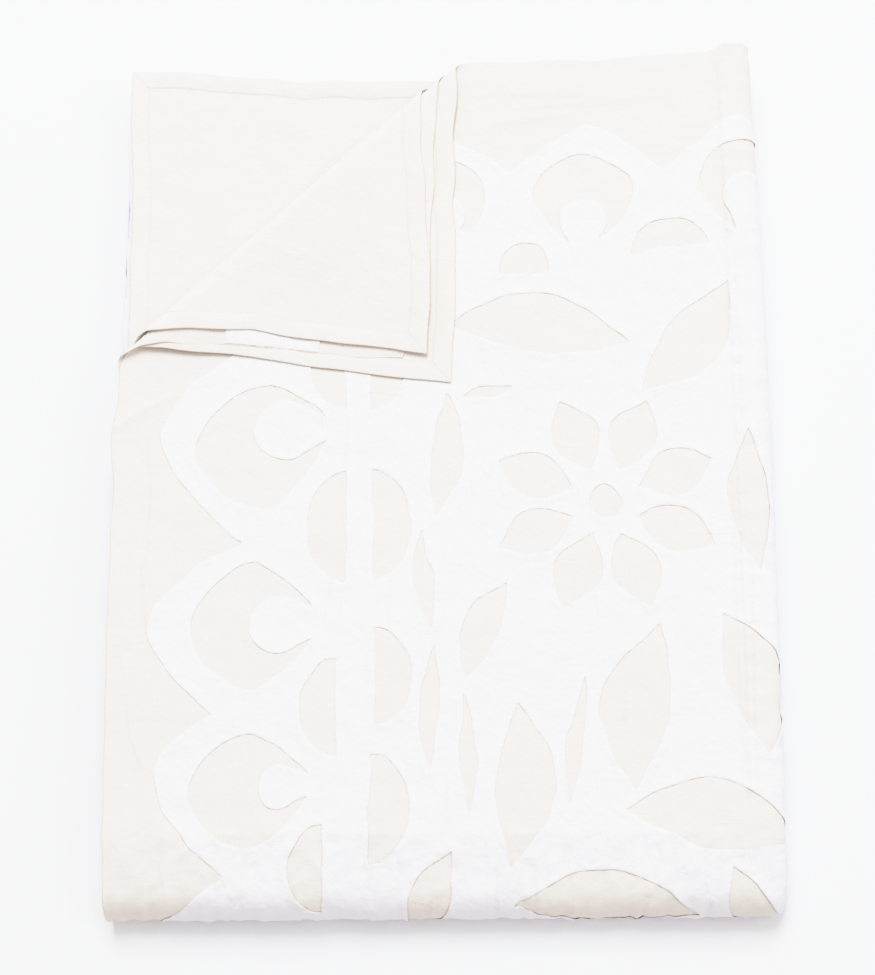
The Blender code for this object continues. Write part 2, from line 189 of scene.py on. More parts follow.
# Thickness of the cut-work beside its turned edge: distance and thickness (mm)
TURNED_EDGE = ((0, 0.22), (0.35, 0.40), (0.9, 0.50), (2.4, 0.51), (4.6, 0.40), (7, 0.34))
# Inner edge of the loose hem on the reverse of the turned-back top leaf: place and inset (mm)
LOOSE_LEFT = ((0, 6), (30, 4.5), (71, 2.6), (105, 2.4), (147, 4), (215, 5), (250, 4))
LOOSE_BACK = ((0, 2), (69, 4), (150, 6), (215, 8), (290, 8))
LOOSE_END = 0.27

# Cut-work outlines, as in the part's source, with their tables in mm
MARGIN_A = 0.031
MARGIN_B = 0.060
SIDE_POWER = 1.85
BACK_POWER = 1.3
SCALLOP_STEPS = 12
RUN_OUT = 0.04
# Valleys and peaks of the scalloped edges in turn: place along the edge and distance from it
SIDE_SCALLOPS = (
    (132, 96), (204, 38), (262, 98), (330, 39), (424, 106),
    (491, 33), (564, 83), (612, 39), (692, 95), (764, 36),
)
BACK_SCALLOPS = ((196, 107), (272, 74), (328, 106), (396, 66), (457, 109), (522, 61), (590, 107))
ARCHES = (
    # a, b, half depth, half length, turn (degrees); knob back, aside, radius; tips back, apart
    (118, 204, 50, 52, 180, 19, 2, 24, 45, 13),
    (128, 345, 62, 53, 180, 12, 15, 26, 46, 10),
    (118, 494, 51, 52, 180, 19, 2, 24, 45, 13),
    (117, 626, 49, 45, 180, 22, 4, 18, 45, 9),
    (270, 126, 34, 36, 270, 19, 0, 20, 36, 20),
    (389, 130, 37, 42, 270, 23, -1, 20, 41, 12),
    (527, 124, 42, 42, 270, 10, 0, 22, 42, 11),
)
HALF_OVALS = (
    # a, b, length, depth, turn (degrees, 0 bulges to +a)
    (189, 270, 88, 30, 180),
    (211, 270, 90, 29, 0),
    (190, 412, 92, 31, 180),
    (213, 412, 92, 29, 0),
    (184, 560, 78, 29, 180),
    (215, 536, 76, 29, 0),
    (174, 688, 68, 26, 180),
    (211, 640, 86, 31, 0),
    (339, 198, 42, 26, 270),
    (459, 179, 64, 26, 261),
)
LEAVES = (
    # a, b, length, width, turn (degrees), bend
    (348, 252, 150, 52, 8, -10),
    (468, 256, 116, 48, 128, -9),
    (268, 352, 104, 26, 95, -5),
    (306, 301, 42, 10, 166, 1),
    (256, 458, 82, 16, 84, 3),
    (260, 562, 98, 15, 92, 2),
    (287, 598, 92, 14, 88, -2),
    (304, 500, 84, 28, 112, 6),
    (519, 396, 116, 32, 88, 5),
    (325, 622, 130, 46, 92, -9),
    (375, 588, 100, 13, 98, 2),
    (430, 562, 132, 54, 100, 10),
    (507, 545, 116, 48, 74, -10),
    (480, 655, 138, 54, 10, -9),
    (396, 722, 146, 50, 4, -8),
    (513, 722, 76, 34, 62, 5),
    (262, 716, 88, 34, 108, 6),
)
ROSETTES = (
    # a, b, eye radius, petal start, petal length, petal width, petals
    (400, 396, 14, 29, 64, 38, 8),
)
KNOB_NECK = math.radians(132)
FLANK_BOW = 5
OUTLINE_POWER = 1.75
EYE_STEPS = 24
# A white bar that runs over the hem of the second leaf: from, to, along its left hem (mm)
HEM_BAR = (86, 171)
HEM_BAR_INSET = 0.0012
# Past here the cut-work's rim is hidden: along the second leaf's hem, and past the front bend
SEEN_HEM_END = 0.3
SEEN_FRONT_END = FRONT_FOLD + FRONT_BEND + 0.01

# Spacing of the triangles' points
HIDDEN_RIM = 0.014
CORNER_TURN = math.radians(32)
MERGE = 1e-7
ROUND_TO = 2e-5
ROW_RATIO = 0.866
LOOSE_PLAY = 0.12
ROLL_ACROSS = 0.0022
ROLL_ALONG = 0.0055
ROLL_HALF_LENGTH = 0.3
ROLL_INSET = 0.001
FOLD_REACH = 0.003
SEEN_DEPTH = -0.035
TOP_DEPTH = 0.004
CREASE_STEP = 0.005
CREASE_OFFSETS = (-1.7, -0.85, 0, 0.85, 1.7)
HEM_ROWS = (0.0005, 0.0014, 0.005, 0.0153, 0.0162, 0.0171, 0.023, 0.031)
HEM_CLEARANCE = HEM_ROWS[-1] + 0.002
CORNER_LENGTH = 0.34
CUT_SPACING = 0.0029
CUT_ROWS = (0.00035, 0.0009, 0.0024, 0.0046)
ROW_CLEARANCE = 0.93
# For the ground's face and its reverse: over the top leaf, over the other seen parts, elsewhere
GROUND_SPACINGS = ((0.0064, 0.0064, 0.026), (0.012, 0.0064, 0.026))
FRONT_SPACING = 0.0058
FRONT_START = 0.630
# For the cut-work's face and its underside: the same three, and the clearance from the edges
CUTWORK_SPACINGS = ((0.0038, 0.009, 0.03), (0.012, 0.012, 0.03))
CUT_CLEARANCES = (0.0066, 0.004)
MARGIN_CLEARANCE = 0.004
# Zones along s and along t with closer places: from, to, spacing
GROUND_S_ZONES = (
    (0, CORNER_LENGTH, 0.0047),
    (CLOTH_WIDTH - CORNER_LENGTH, CLOTH_WIDTH, 0.0047),
    (CORNER_LENGTH, SIDE_FOLD, 0.005),
)
GROUND_T_ZONES = (
    (0, CORNER_LENGTH, 0.0047),
    (CLOTH_LENGTH - CORNER_LENGTH, CLOTH_LENGTH, 0.0047),
    (CORNER_LENGTH, FRONT_FOLD, 0.006),
)
CUTWORK_S_ZONES = ((0, SIDE_FOLD, 0.0048),)
CUTWORK_T_ZONES = ((0, FRONT_FOLD, 0.006),)

# Hand-cut unevenness of the outlines
CUT_WOBBLE = 0.0007
CUT_WOBBLE_LENGTH = 0.038
CUT_WOBBLE_REACH = (0.004, 0.03)

# Sewing
STITCH_PITCH = 0.0034
STITCH_LENGTH = 0.0026
STITCH_INSET = 0.0013
SIDE_LINE_STEPS = 60
BACK_LINE_STEPS = 50
THREAD_RADIUS = 0.00016
THREAD_SINK = 0.00004

# Colours, as linear light
GROUND_LIGHT = (0.786, 0.760, 0.722)
GROUND_DARK = (0.764, 0.736, 0.696)
GROUND_SLUB = (0.806, 0.783, 0.748)
FLECK = (0.42, 0.34, 0.25)
# Brown of the mitre's seam line, also used as painted shade at the hems' inner steps and in the creases
SEAM_LINE_AND_PAINTED_SHADE = (0.48, 0.39, 0.31)
# Painted warm shade along the ground cloth's rims, standing in for the shade in the gaps between leaves
PAINTED_RIM_SHADE = (0.60, 0.50, 0.39)
WHITE_LIGHT = (0.842, 0.842, 0.884)
WHITE_DARK = (0.826, 0.826, 0.868)
WHITE_DENSE = (0.850, 0.850, 0.892)
# Painted shade along the cut-work's turned edges and in the creases
PAINTED_EDGE_SHADE = (0.58, 0.51, 0.47)
THREAD_LIGHT = (0.76, 0.72, 0.66)
THREAD_DARK = (0.70, 0.655, 0.59)
FLOOR_COLOUR = (0.870, 0.895, 0.929)
FLOOR_LEVEL = -0.0003

# Light: name, place, aim, size, power
STUDIO_LIGHTS = (
    ("back", (-0.2, 3.9, 4.9), (0, 0, 0), 3.5, 352),
    ("right", (3.6, 0.3, 3.4), (0, 0, 0), 2.4, 42),
)
AMBIENT_COLOUR = (1.0, 1.0, 1.0)
AMBIENT_STRENGTH = 0.715

# Response of the film: where its shoulder starts, and the light that it shows as white
SHOULDER = 0.65
CURVE_WHITE = 2.4
CURVE_STATIONS = (0, 0.08, 0.16, 0.24, 0.28, 0.32, 0.38, 0.44, 0.5, 0.6, 0.7, 0.85, 1)
# Warmth of its darker tones: shares for red, green and blue
WARMTH = (0.55, -0.22, -0.55)
WARMTH_STATIONS = (0, 0.06, 0.12, 0.18, 0.24, 0.30, 0.36, 0.42, 0.48, 0.56, 0.7, 1)

# Camera, fitted to the pack's corners in the photo
AIM = (-0.00275, -0.01397, 0.02)
CAMERA_DISTANCE = 1.638
CAMERA_ELEVATION = math.radians(75.435)
CAMERA_AZIMUTH = math.radians(13.952)
CAMERA_ROLL = math.radians(-14.638)
CAMERA_LENS = 73.1
SENSOR_WIDTH = 36.0


# Shared maths

def ramp(value, start, end):
    """Rise from 0 to 1 between start and end."""
    return np.clip((value - start) / (end - start), 0.0, 1.0)


def smooth(value, start, end):
    """Rise from 0 to 1 between start and end, with soft ends."""
    share = ramp(value, start, end)
    return share * share * (3 - 2 * share)


def hump(value, rise, fall):
    """Rise from 0 to 1 over one stretch and fall back over another."""
    return smooth(value, *rise) * (1 - smooth(value, *fall))


def slope_in(value, start, end):
    """Rise from 0 to 1 between start and end, with a rounded start."""
    share = (value - start) / (end - start)
    rounded = 0.5 * (share + np.sqrt(share * share + CREASE_ROUNDING ** 2)) - 0.5 * CREASE_ROUNDING ** 2
    return np.clip(rounded, 0.0, 1.0) * (share > -3 * CREASE_ROUNDING)


def along_pairs(value, pairs):
    """Read a table of (place, value) pairs in millimetres at places in metres."""
    places, values = zip(*pairs)
    return np.interp(value / MM, places, values) * MM


def ripple(x, y, length, seed, waves=10):
    """Even random swell of about one unit, from seeded sine waves of about that length."""
    random = np.random.default_rng(seed)
    total = np.zeros(np.broadcast(x, y).shape)
    for _ in range(waves):
        angle, phase = random.uniform(0, math.pi), random.uniform(0, math.tau)
        pitch = math.tau / (length * random.uniform(*WAVE_LENGTHS))
        total += np.sin(pitch * (x * math.cos(angle) + y * math.sin(angle)) + phase)
    return total / math.sqrt(waves / 2)


def random_swell(x, y, swell):
    """A random swell from its height, length and seed."""
    height, length, seed = swell
    return height * MM * ripple(x, y, length, seed)


# Folding

def leaf_of(s, t):
    """Which half of the cloth a flat point lies on, both ways, and its distances a and b."""
    far_s, far_t = s > CLOTH_WIDTH / 2, t > CLOTH_LENGTH / 2
    return far_s, far_t, np.where(far_s, CLOTH_WIDTH - s, s), np.where(far_t, CLOTH_LENGTH - t, t)


def leaf_mask(far_s, far_t, key):
    """Points of one hemmed quarter of the cloth."""
    past_s, past_t = QUARTERS[key]
    return (far_s == past_s) & (far_t == past_t)


def hem_shift(s, t):
    """Move flat points near the cloth's edges, because no hem lies quite straight."""
    far_s, far_t, a, b = leaf_of(s, t)
    back, left = np.zeros_like(a), np.zeros_like(a)
    for key in BACK_HEMS:
        mask = leaf_mask(far_s, far_t, key)
        back = np.where(mask, along_pairs(a, BACK_HEMS[key]), back)
        left = np.where(mask, along_pairs(b, LEFT_HEMS[key]), left)
    back += HEM_WOBBLE * ripple(s, 0 * t, HEM_WOBBLE_LENGTH, seed=11)
    left += HEM_WOBBLE * ripple(0 * s, t, HEM_WOBBLE_LENGTH, seed=12)
    reach = np.where(leaf_mask(far_s, far_t, "first"), TOP_HEM_REACH, HEM_REACH)
    b2 = b + back * (1 - smooth(b, HEM_HOLD, reach))
    a2 = a + left * (1 - smooth(a, HEM_HOLD, reach))
    return np.where(far_s, CLOTH_WIDTH - a2, a2), np.where(far_t, CLOTH_LENGTH - b2, b2)


def halve(place, height, fold, bend, stack):
    """Fold a stack under itself: the part past the fold goes below, upside down."""
    turn = math.pi * ramp(place, fold, fold + bend)
    flat = np.where(place > fold + bend, 2 * fold + bend - place, np.minimum(place, fold))
    return flat + height * np.sin(turn), stack + height * np.cos(turn)


def fold_up(s, t, height):
    """Lead flat points through the four halvings, to (a, b, h) in the pack."""
    a, h = halve(s, height, FIRST_FOLD, FIRST_BEND, LEAF_PITCH)
    b, h = halve(t, h, SECOND_FOLD, SECOND_BEND, 2 * LEAF_PITCH)
    a, h = halve(a, h, SIDE_FOLD, SIDE_BEND, 4 * LEAF_PITCH)
    b, h = halve(b, h, FRONT_FOLD, FRONT_BEND, 8 * LEAF_PITCH)
    return a, b, h


def roll_depth(a, b):
    """How far a point of the turned leaves lies past the crease."""
    return CREASE_DISTANCE - a * math.cos(CREASE_TURN) - b * math.sin(CREASE_TURN)


def turn_back(a, b, h):
    """Roll the three upper leaves back over the pack, past the crease."""
    depth = roll_depth(a, b)
    below = STACK - h
    closer = np.interp(below / LEAF_PITCH, *zip(*FLAP_CLOSER))
    below = below - closer * smooth(depth, 0, ROLL_BEND)
    radius = ROLL_HOLLOW + below
    turn = math.pi * ramp(depth, 0, ROLL_BEND)
    settled = smooth(depth, ROLL_BEND, ROLL_BEND + SETTLE_LENGTH)
    rolled = depth < ROLL_BEND
    out = np.where(rolled, radius * np.sin(turn), ROLL_BEND - depth)
    lying = STACK + 2 * ROLL_LIFT * (1 - settled) + LYING_GAP * settled + below
    level = np.where(rolled, STACK + ROLL_LIFT - (ROLL_LIFT + below) * np.cos(turn), lying)
    past = np.maximum(depth, 0)
    moved = np.where(depth > 0, past - out, 0)
    level = np.where(depth > 0, level, h)
    return a + moved * math.cos(CREASE_TURN), b + moved * math.sin(CREASE_TURN), level


def settle(a, b, h):
    """Give the pack its soft uneven form, in the part's own axes."""
    keep = 1 - SIDE_DROP * slope_in(a, SIDE_CREASE, PACK_WIDTH)
    keep -= FRONT_DROP * slope_in(b, FRONT_CREASE, PACK_LENGTH)
    sag = 1 + FRONT_SAG * smooth(b, FRONT_CREASE, PACK_LENGTH) + SIDE_SAG * smooth(a, SIDE_CREASE, PACK_WIDTH)
    level = np.where(h < STACK, STACK * (np.clip(h, 0, STACK) / STACK) ** sag, h)
    swell = along_pairs(a, SIDE_SWELL) + along_pairs(b, BACK_SWELL) + random_swell(a, b, PACK_SWELL)
    share = np.maximum(0.0, 2 * h / STACK - 1)
    bow = SIDE_BOW * np.sin(math.pi * ramp(b, 0, PACK_LENGTH)) * a / PACK_WIDTH
    x = a - PACK_WIDTH / 2 + bow + edge_play(a, b, h)
    lower = (1 - smooth(h, *LOWER_TWELVE)) * (1 - smooth(b, *LOWER_BACK_REACH))
    y = PACK_LENGTH / 2 - b - along_pairs(a, LOWER_BACK) * lower
    return np.stack([x, y, level * keep + swell * share], axis=-1) + np.array(PACK_SHIFT)


def edge_play(a, b, h):
    """Sideways play of the stack's edges: lower folds that stand out, and small puckers."""
    bulges = np.zeros_like(a)
    for start, end, rise in LOWER_BULGES:
        bulges += rise * MM * hump(b / MM, np.add(start, BULGE_START), np.add(end, BULGE_END))
    right = smooth(a, *BULGE_SIDE) * (1 - smooth(h, *LOWER_HALF))
    level = np.round(h / (2 * LEAF_PITCH))
    left = (1 - smooth(a, *PUCKER_REACH)) * smooth(STACK - h, *BELOW_FOUR)
    pucker = PUCKER * ripple(b, PUCKER_DRIFT * level * LEAF_PITCH, PUCKER_LENGTH, seed=22)
    return right * bulges + left * (pucker - along_pairs(b, LOWER_LEFT))


def fold_points(s, t, height):
    """Lead flat points to their places in the part's frame."""
    flat_s, flat_t = hem_shift(s, t)
    a, b, h = fold_up(flat_s, flat_t, height)
    far_s, far_t, leaf_a, leaf_b = leaf_of(flat_s, flat_t)
    turned = ~leaf_mask(far_s, far_t, "fourth") & (leaf_a < SIDE_FOLD) & (leaf_b < FRONT_FOLD)
    rolled = turn_back(a, b, h)
    a, b, h = (np.where(turned, new, old) for new, old in zip(rolled, (a, b, h)))
    return settle(a, b, h)


# Heights of the cloths within a leaf

def ridge_height(a, b, ridges):
    """Soft ridges along lines, from a table of start, end, height and half width (mm)."""
    total = np.zeros_like(a)
    for start_a, start_b, end_a, end_b, height, width in ridges:
        run = np.array([end_a - start_a, end_b - start_b]) * MM
        length = float(np.hypot(*run))
        along = ((a - start_a * MM) * run[0] + (b - start_b * MM) * run[1]) / length
        across = ((a - start_a * MM) * run[1] - (b - start_b * MM) * run[0]) / length
        ends = hump(along / length, *RIDGE_ENDS)
        total += height * MM * ends * np.exp(-(across / (width * MM)) ** 2)
    return total


# Soft ridges and sharper creases of the top leaf, ridges of the flap's upper leaf and of the
# bared corner: a, b from, a, b to, height, half width (mm)
TOP_RIDGES = (
    (-4, 330, 30, 308, 0.8, 5), (20, 314, 70, 286, 0.7, 5), (36, 330, 37, 500, 0.45, 2.5),
    (37, 440, 28, 600, 0.4, 3), (18, 520, 30, 600, 0.35, 3), (0, 659, 270, 661, 0.5, 3),
    (250, 661, 535, 662, 0.5, 3), (30, 640, 90, 700, 0.6, 5), (240, 655, 300, 690, 0.6, 5),
    (420, 650, 380, 700, 0.5, 5), (300, 40, 360, 25, 0.3, 6), (20, 560, 80, 566, 0.3, 7),
    (150, 668, 190, 700, 0.6, 5), (455, 690, 520, 668, 0.6, 5),
)
# The bottoms of these creases are also painted with shade in both materials
TOP_CREASES = (
    (0, 327, 30, 307, 0.80, 2.8), (24, 310, 70, 287, 0.70, 2.6), (292, 30, 410, 36, 0.20, 6.5),
    (330, 49, 455, 41, 0.20, 6.0), (300, 66, 390, 57, 0.20, 6.0),
    (30, 334, 32, 425, 0.50, 1.8), (32, 418, 26, 450, 0.45, 1.8), (26, 442, 33, 502, 0.50, 1.8),
    (18, 556, 20, 588, 0.40, 1.8), (20, 580, 31, 608, 0.40, 1.8), (507, 8, 506, 330, 0.55, 2.0),
    (506, 290, 507, 652, 0.55, 2.0), (512, 150, 511, 420, 0.40, 1.8), (501, 330, 502, 600, 0.35, 1.8),
    (514, 440, 513, 640, 0.40, 1.8), (226, 452, 226, 505, 0.45, 1.6), (191, 320, 190, 370, 0.45, 1.6),
    (274, 612, 270, 658, 0.55, 1.6), (215, 676, 207, 720, 0.60, 1.8), (93, 690, 108, 720, 0.60, 1.8),
    (310, 678, 312, 724, 0.60, 1.8), (370, 696, 370, 728, 0.60, 1.8), (417, 448, 418, 475, 0.45, 1.6),
    (413, 546, 411, 578, 0.45, 1.6), (274, 671, 302, 678, 0.55, 1.8), (314, 660, 339, 662, 0.50, 1.8),
    (150, 690, 156, 724, 0.50, 1.8), (262, 700, 258, 728, 0.55, 1.8), (338, 690, 346, 722, 0.50, 1.8),
    (430, 704, 424, 728, 0.55, 1.8), (470, 690, 478, 722, 0.50, 1.8), (44, 676, 52, 716, 0.45, 1.8),
    (326, 205, 352, 196, 0.35, 1.6), (436, 330, 462, 350, 0.35, 1.6), (300, 240, 306, 280, 0.35, 1.6),
)
# Where a ridge rises and falls, as shares of its length
RIDGE_ENDS = ((-0.1, 0.25), (0.75, 1.1))
# Half width of the painted crease shade, as a share of the crease's half width
CREASE_BOTTOM = 0.55
# Height of the soft roll along the side fold: place from the back and height (mm)
BEAD_HEIGHT = ((0, 1.9), (60, 1.8), (220, 1.2), (420, 0.8), (720, 0.6))
BEAD_SIDES = ((0.5035, 0.5105), (0.535, 0.565))
BEAD_END = (0.66, 0.72)
# The dip beside it: place, half width, share of the roll's height
BEAD_DIP = (0.500, 0.007, 0.22)
FLAP_RIDGES = (
    (20, 150, 120, 70, 0.3, 7), (60, 190, 180, 90, 0.3, 9), (110, 30, 130, 110, 0.25, 6),
    (30, 60, 100, 30, 0.25, 6),
)
BARE_RIDGES = (
    (30, 120, 130, 90, 0.25, 8), (60, 30, 90, 150, 0.2, 7), (120, 40, 200, 60, 0.25, 8),
)


def painted_crease_shade_share(s, t):
    """How far, from 0 to 1, a point lies in the bottom of a crease beside the top leaf's ridges: where the
    materials paint shade.
    """
    far_s, far_t, a, b = leaf_of(s, t)
    lines = [(*row[:4], 1.0, CREASE_BOTTOM * row[5]) for row in TOP_CREASES]
    share = np.minimum(ridge_height(a, b, lines) / MM, 1)
    return share * leaf_mask(far_s, far_t, "first") * (1 - under_flap(a, b))


def under_flap(a, b):
    """How far, from 0 to 1, the turned-back leaves lie on a point of the top leaf."""
    depth = roll_depth(a, b)
    reach = ROLL_BEND - 2 * depth
    over_a, over_b = a - reach * math.cos(CREASE_TURN), b - reach * math.sin(CREASE_TURN)
    return (depth < 0) * smooth(over_a, *FLAP_COVER) * smooth(over_b, *FLAP_COVER)


def side_bead(a, b):
    """The soft roll along the side fold, which stands a little above the top leaf."""
    place, width, share = BEAD_DIP
    dip = share * np.exp(-((a - place) / width) ** 2)
    return (hump(a, *BEAD_SIDES) - dip) * along_pairs(b, BEAD_HEIGHT) * (1 - smooth(b, *BEAD_END))


def crumple(s, t, a, b):
    """Small uneven puckers where the top leaf bends down, above all at the front."""
    front = hump(b, *FRONT_BENT)
    side = hump(a, *SIDE_BENT) * (1 - front)
    height = np.zeros_like(a)
    for at_front, at_side, along_s, along_t, length, seed in BEND_PUCKERS:
        pucker = 1 + ripple(along_s * s, along_t * t, length, seed)
        height += MM * (at_front * front + at_side * side) * pucker
    return height


def relief(s, t):
    """Swells and wrinkles that both cloths share, within a leaf."""
    far_s, far_t, a, b = leaf_of(s, t)
    depth = roll_depth(a, b)
    inside = (1 - smooth(a, *FLAT_A)) * (1 - smooth(b, *FLAT_B))
    bare = smooth(-depth, *BARE_REACH)
    first, second, third, fourth = (leaf_mask(far_s, far_t, key) for key in QUARTERS)
    swell = sum(rise * MM * (1 + ripple(s, t, length, seed)) for rise, length, seed in SEEN_SWELLS)
    top = inside * (swell + ridge_height(a, b, TOP_RIDGES)) + ridge_height(a, b, TOP_CREASES)
    top += crumple(s, t, a, b) + side_bead(a, b)
    flap = inside * (swell + ridge_height(a, b, FLAP_RIDGES))
    bared = swell + ridge_height(a, b, BARE_RIDGES)
    curl = CURL_DROP * (1 - smooth(a, 0, CURL_REACH)) * (1 - smooth(b, *CURL_END))
    height = random_swell(s, t, LEAF_SWELL) + np.where(first, bare * (1 - under_flap(a, b)) * top, 0)
    height -= np.where(second, curl, 0)
    height -= np.where(third, (1 - bare) * flap, 0)
    return height - np.where(fourth, (1 - smooth(CREASE_DISTANCE - depth, *BARED_CORNER)) * bared, 0)


def ground_heights(s, t):
    """Heights of the reverse and of the face of the ground cloth."""
    far_s, far_t, a, b = leaf_of(s, t)
    inset = np.minimum(a, b)
    hem = 1 - smooth(inset, HEM_WIDTH - HEM_STEP / 2, HEM_WIDTH + HEM_STEP / 2)
    first = leaf_mask(far_s, far_t, "first") & (np.maximum(a, b) < LOOSE_END)
    loose = np.where(a < b, along_pairs(b, LOOSE_LEFT), along_pairs(a, LOOSE_BACK))
    hem = np.where(first, hem * smooth(inset, loose - HEM_STEP / 2, loose + HEM_STEP / 2), hem)
    face = HEM_FACE - (HEM_FACE - GROUND_FACE) * smooth(inset, HEM_WIDTH, HEM_WIDTH + HEM_SLOPE)
    reverse = face - GROUND_CLOTH - hem * (HEM_CLOTH - GROUND_CLOTH)
    rounded = np.sqrt(np.clip(1 - (1 - np.minimum(inset / RIM_RADIUS, 1)) ** 2, RIM_THINNEST, 1))
    middle, half = (face + reverse) / 2, (face - reverse) / 2 * rounded
    swell = relief(s, t)
    return middle - half + swell, middle + half + swell


def cutwork_heights(s, t, edge):
    """Heights of the underside and of the face of the cut-work, edge metres from its rim."""
    far_s, far_t, a, b = leaf_of(s, t)
    hidden = (far_s | far_t) * smooth(a + b, *HIDDEN_REACH)
    bent = np.maximum(smooth(b, *FRONT_BENT[0]), smooth(a, *SIDE_BENT[0]))
    low = ground_heights(s, t)[1] + CUTWORK_GAP + BENT_GAP * np.maximum(bent, hidden)
    near = 1 - smooth(edge, *GATHER_REACH)
    pucker = near * random_swell(s, t, EDGE_PUCKER) + random_swell(s, t, FIELD_PUCKER)
    return low + PUCKER_BELOW * np.abs(pucker), low + along_pairs(edge, TURNED_EDGE) + pucker


# Outlines of the cut-work, in flat coordinates

def power_arc(angle, across, along):
    """A point on an oval whose sides are flatter than an ellipse's."""
    c, s = math.cos(angle), math.sin(angle)
    x = math.copysign(abs(c) ** (2 / OUTLINE_POWER), c)
    y = math.copysign(abs(s) ** (2 / OUTLINE_POWER), s)
    return across * x, along * y


def placed(points, a, b, turn):
    """Turn points about the origin and move them to (a, b), from millimetres to metres."""
    c, s = math.cos(math.radians(turn)), math.sin(math.radians(turn))
    return [((a + x * c - y * s) * MM, (b + x * s + y * c) * MM) for x, y in points]


def bowed(start, end, steps):
    """Points after start on a line to end that bows out, away from the arch's middle."""
    points = []
    for k in range(1, steps + 1):
        u = k / steps
        x, y = (first + (last - first) * u for first, last in zip(start, end))
        points.append((x, y + math.copysign(4 * FLANK_BOW * u * (1 - u), y)))
    return points


def arch_opening(a, b, depth, length, turn, back, aside, radius, tip, apart, outer=33, inner=23, flank=12):
    """A C-shaped opening with two pointed tips, about a round knob from its open side."""
    points = [power_arc(math.pi * (k / (outer - 1) - 0.5), depth, length) for k in range(outer)]
    points += bowed((0, length), (-tip, aside + apart), flank)
    for k in range(inner):
        angle = KNOB_NECK * (1 - 2 * k / (inner - 1))
        points.append((radius * math.cos(angle) - back, aside + radius * math.sin(angle)))
    points += bowed((0, -length), (-tip, aside - apart), flank)[::-1]
    return placed(points, a, b, turn)


def half_oval(a, b, length, depth, turn, steps=22):
    """Half an oval, with its straight edge through (a, b)."""
    angles = [math.pi * k / (steps - 1) for k in range(steps)]
    points = [(depth * math.sin(angle), -length / 2 * math.cos(angle)) for angle in angles]
    return placed(points, a, b, turn)


def leaf_shape(a, b, length, width, turn, bend, steps=16):
    """A pointed leaf, bowed sideways by bend at its middle."""
    upper, lower = [], []
    for k in range(steps):
        u = k / (steps - 1)
        middle = bend * (1 - (2 * u - 1) ** 2)
        half = width / 2 * math.sin(math.pi * u)
        upper.append(((u - 0.5) * length, middle - half))
        lower.append(((u - 0.5) * length, middle + half))
    return placed(upper + lower[-2:0:-1], a, b, turn)


def rosette(a, b, eye, start, length, width, petals):
    """A ring of petals about a round eye."""
    shapes = [placed([power_arc(math.tau * k / EYE_STEPS, eye, eye) for k in range(EYE_STEPS)], a, b, 0)]
    reach = start + length / 2
    for petal in range(petals):
        turn = 360 * (petal + 0.5) / petals
        petal_a = a + reach * math.cos(math.radians(turn))
        petal_b = b + reach * math.sin(math.radians(turn))
        shapes.append(leaf_shape(petal_a, petal_b, length, width, turn, 0))
    return shapes


def openings():
    """Outlines of all openings in the cut-work of the top leaf."""
    shapes = [arch_opening(*row) for row in ARCHES]
    shapes += [half_oval(*row) for row in HALF_OVALS]
    shapes += [leaf_shape(*row) for row in LEAVES]
    for row in ROSETTES:
        shapes += rosette(*row)
    return shapes


def scalloped_line(stops, power):
    """Points (place, depth) of a row of arches through the given valleys and peaks."""
    points = []
    for (first, depth), (last, next_depth) in zip(stops, stops[1:]):
        peak, valley = sorted((depth, next_depth))
        for k in range(SCALLOP_STEPS):
            share = k / SCALLOP_STEPS
            from_peak = share if depth == peak else 1 - share
            here = peak + (valley - peak) * from_peak ** power
            points.append(((first + (last - first) * share) * MM, here * MM))
    points.append((stops[-1][0] * MM, stops[-1][1] * MM))
    return points


def run_out(place, depth, edge, way):
    """Where a scalloped line's last point runs out to the straight margin."""
    share = (depth - edge) / (depth - edge + RUN_OUT)
    return place + way * RUN_OUT * share


def evenly(points, spacing):
    """An open line at an even spacing, without its last point and with its corners kept."""
    points = np.asarray(points, dtype=float)
    ahead = np.diff(points, axis=0)
    heading = np.arctan2(ahead[:, 1], ahead[:, 0])
    turn = np.abs((np.diff(heading) + math.pi) % math.tau - math.pi)
    stops = [0] + (1 + np.flatnonzero(turn > CORNER_TURN)).tolist() + [len(points) - 1]
    runs = []
    for start, end in zip(stops, stops[1:]):
        part = points[start:end + 1]
        travelled = np.append(0, np.cumsum(np.hypot(*np.diff(part, axis=0).T)))
        count = max(1, round(travelled[-1] / spacing))
        at = travelled[-1] * np.arange(count) / count
        runs.append(np.stack([np.interp(at, travelled, part[:, k]) for k in (0, 1)], axis=-1))
    return np.concatenate(runs)


def closed_evenly(points, spacing):
    """A closed outline at an even spacing, started at its sharpest corner."""
    points = np.asarray(points, dtype=float)
    ahead = np.roll(points, -1, axis=0) - points
    behind = points - np.roll(points, 1, axis=0)
    cosine = np.sum(ahead * behind, axis=1) / (np.hypot(*ahead.T) * np.hypot(*behind.T))
    points = np.roll(points, -int(np.argmin(cosine)), axis=0)
    return evenly(np.append(points, points[:1], axis=0), spacing)


def hand_cut(points):
    """Shift outline points a little, as scissors do."""
    s, t = points.T
    play = CUT_WOBBLE * smooth(np.minimum(s, CLOTH_WIDTH - s), *CUT_WOBBLE_REACH)
    moves = [play * ripple(s, t, CUT_WOBBLE_LENGTH, seed) for seed in (51, 52)]
    return points + np.stack(moves, axis=-1)


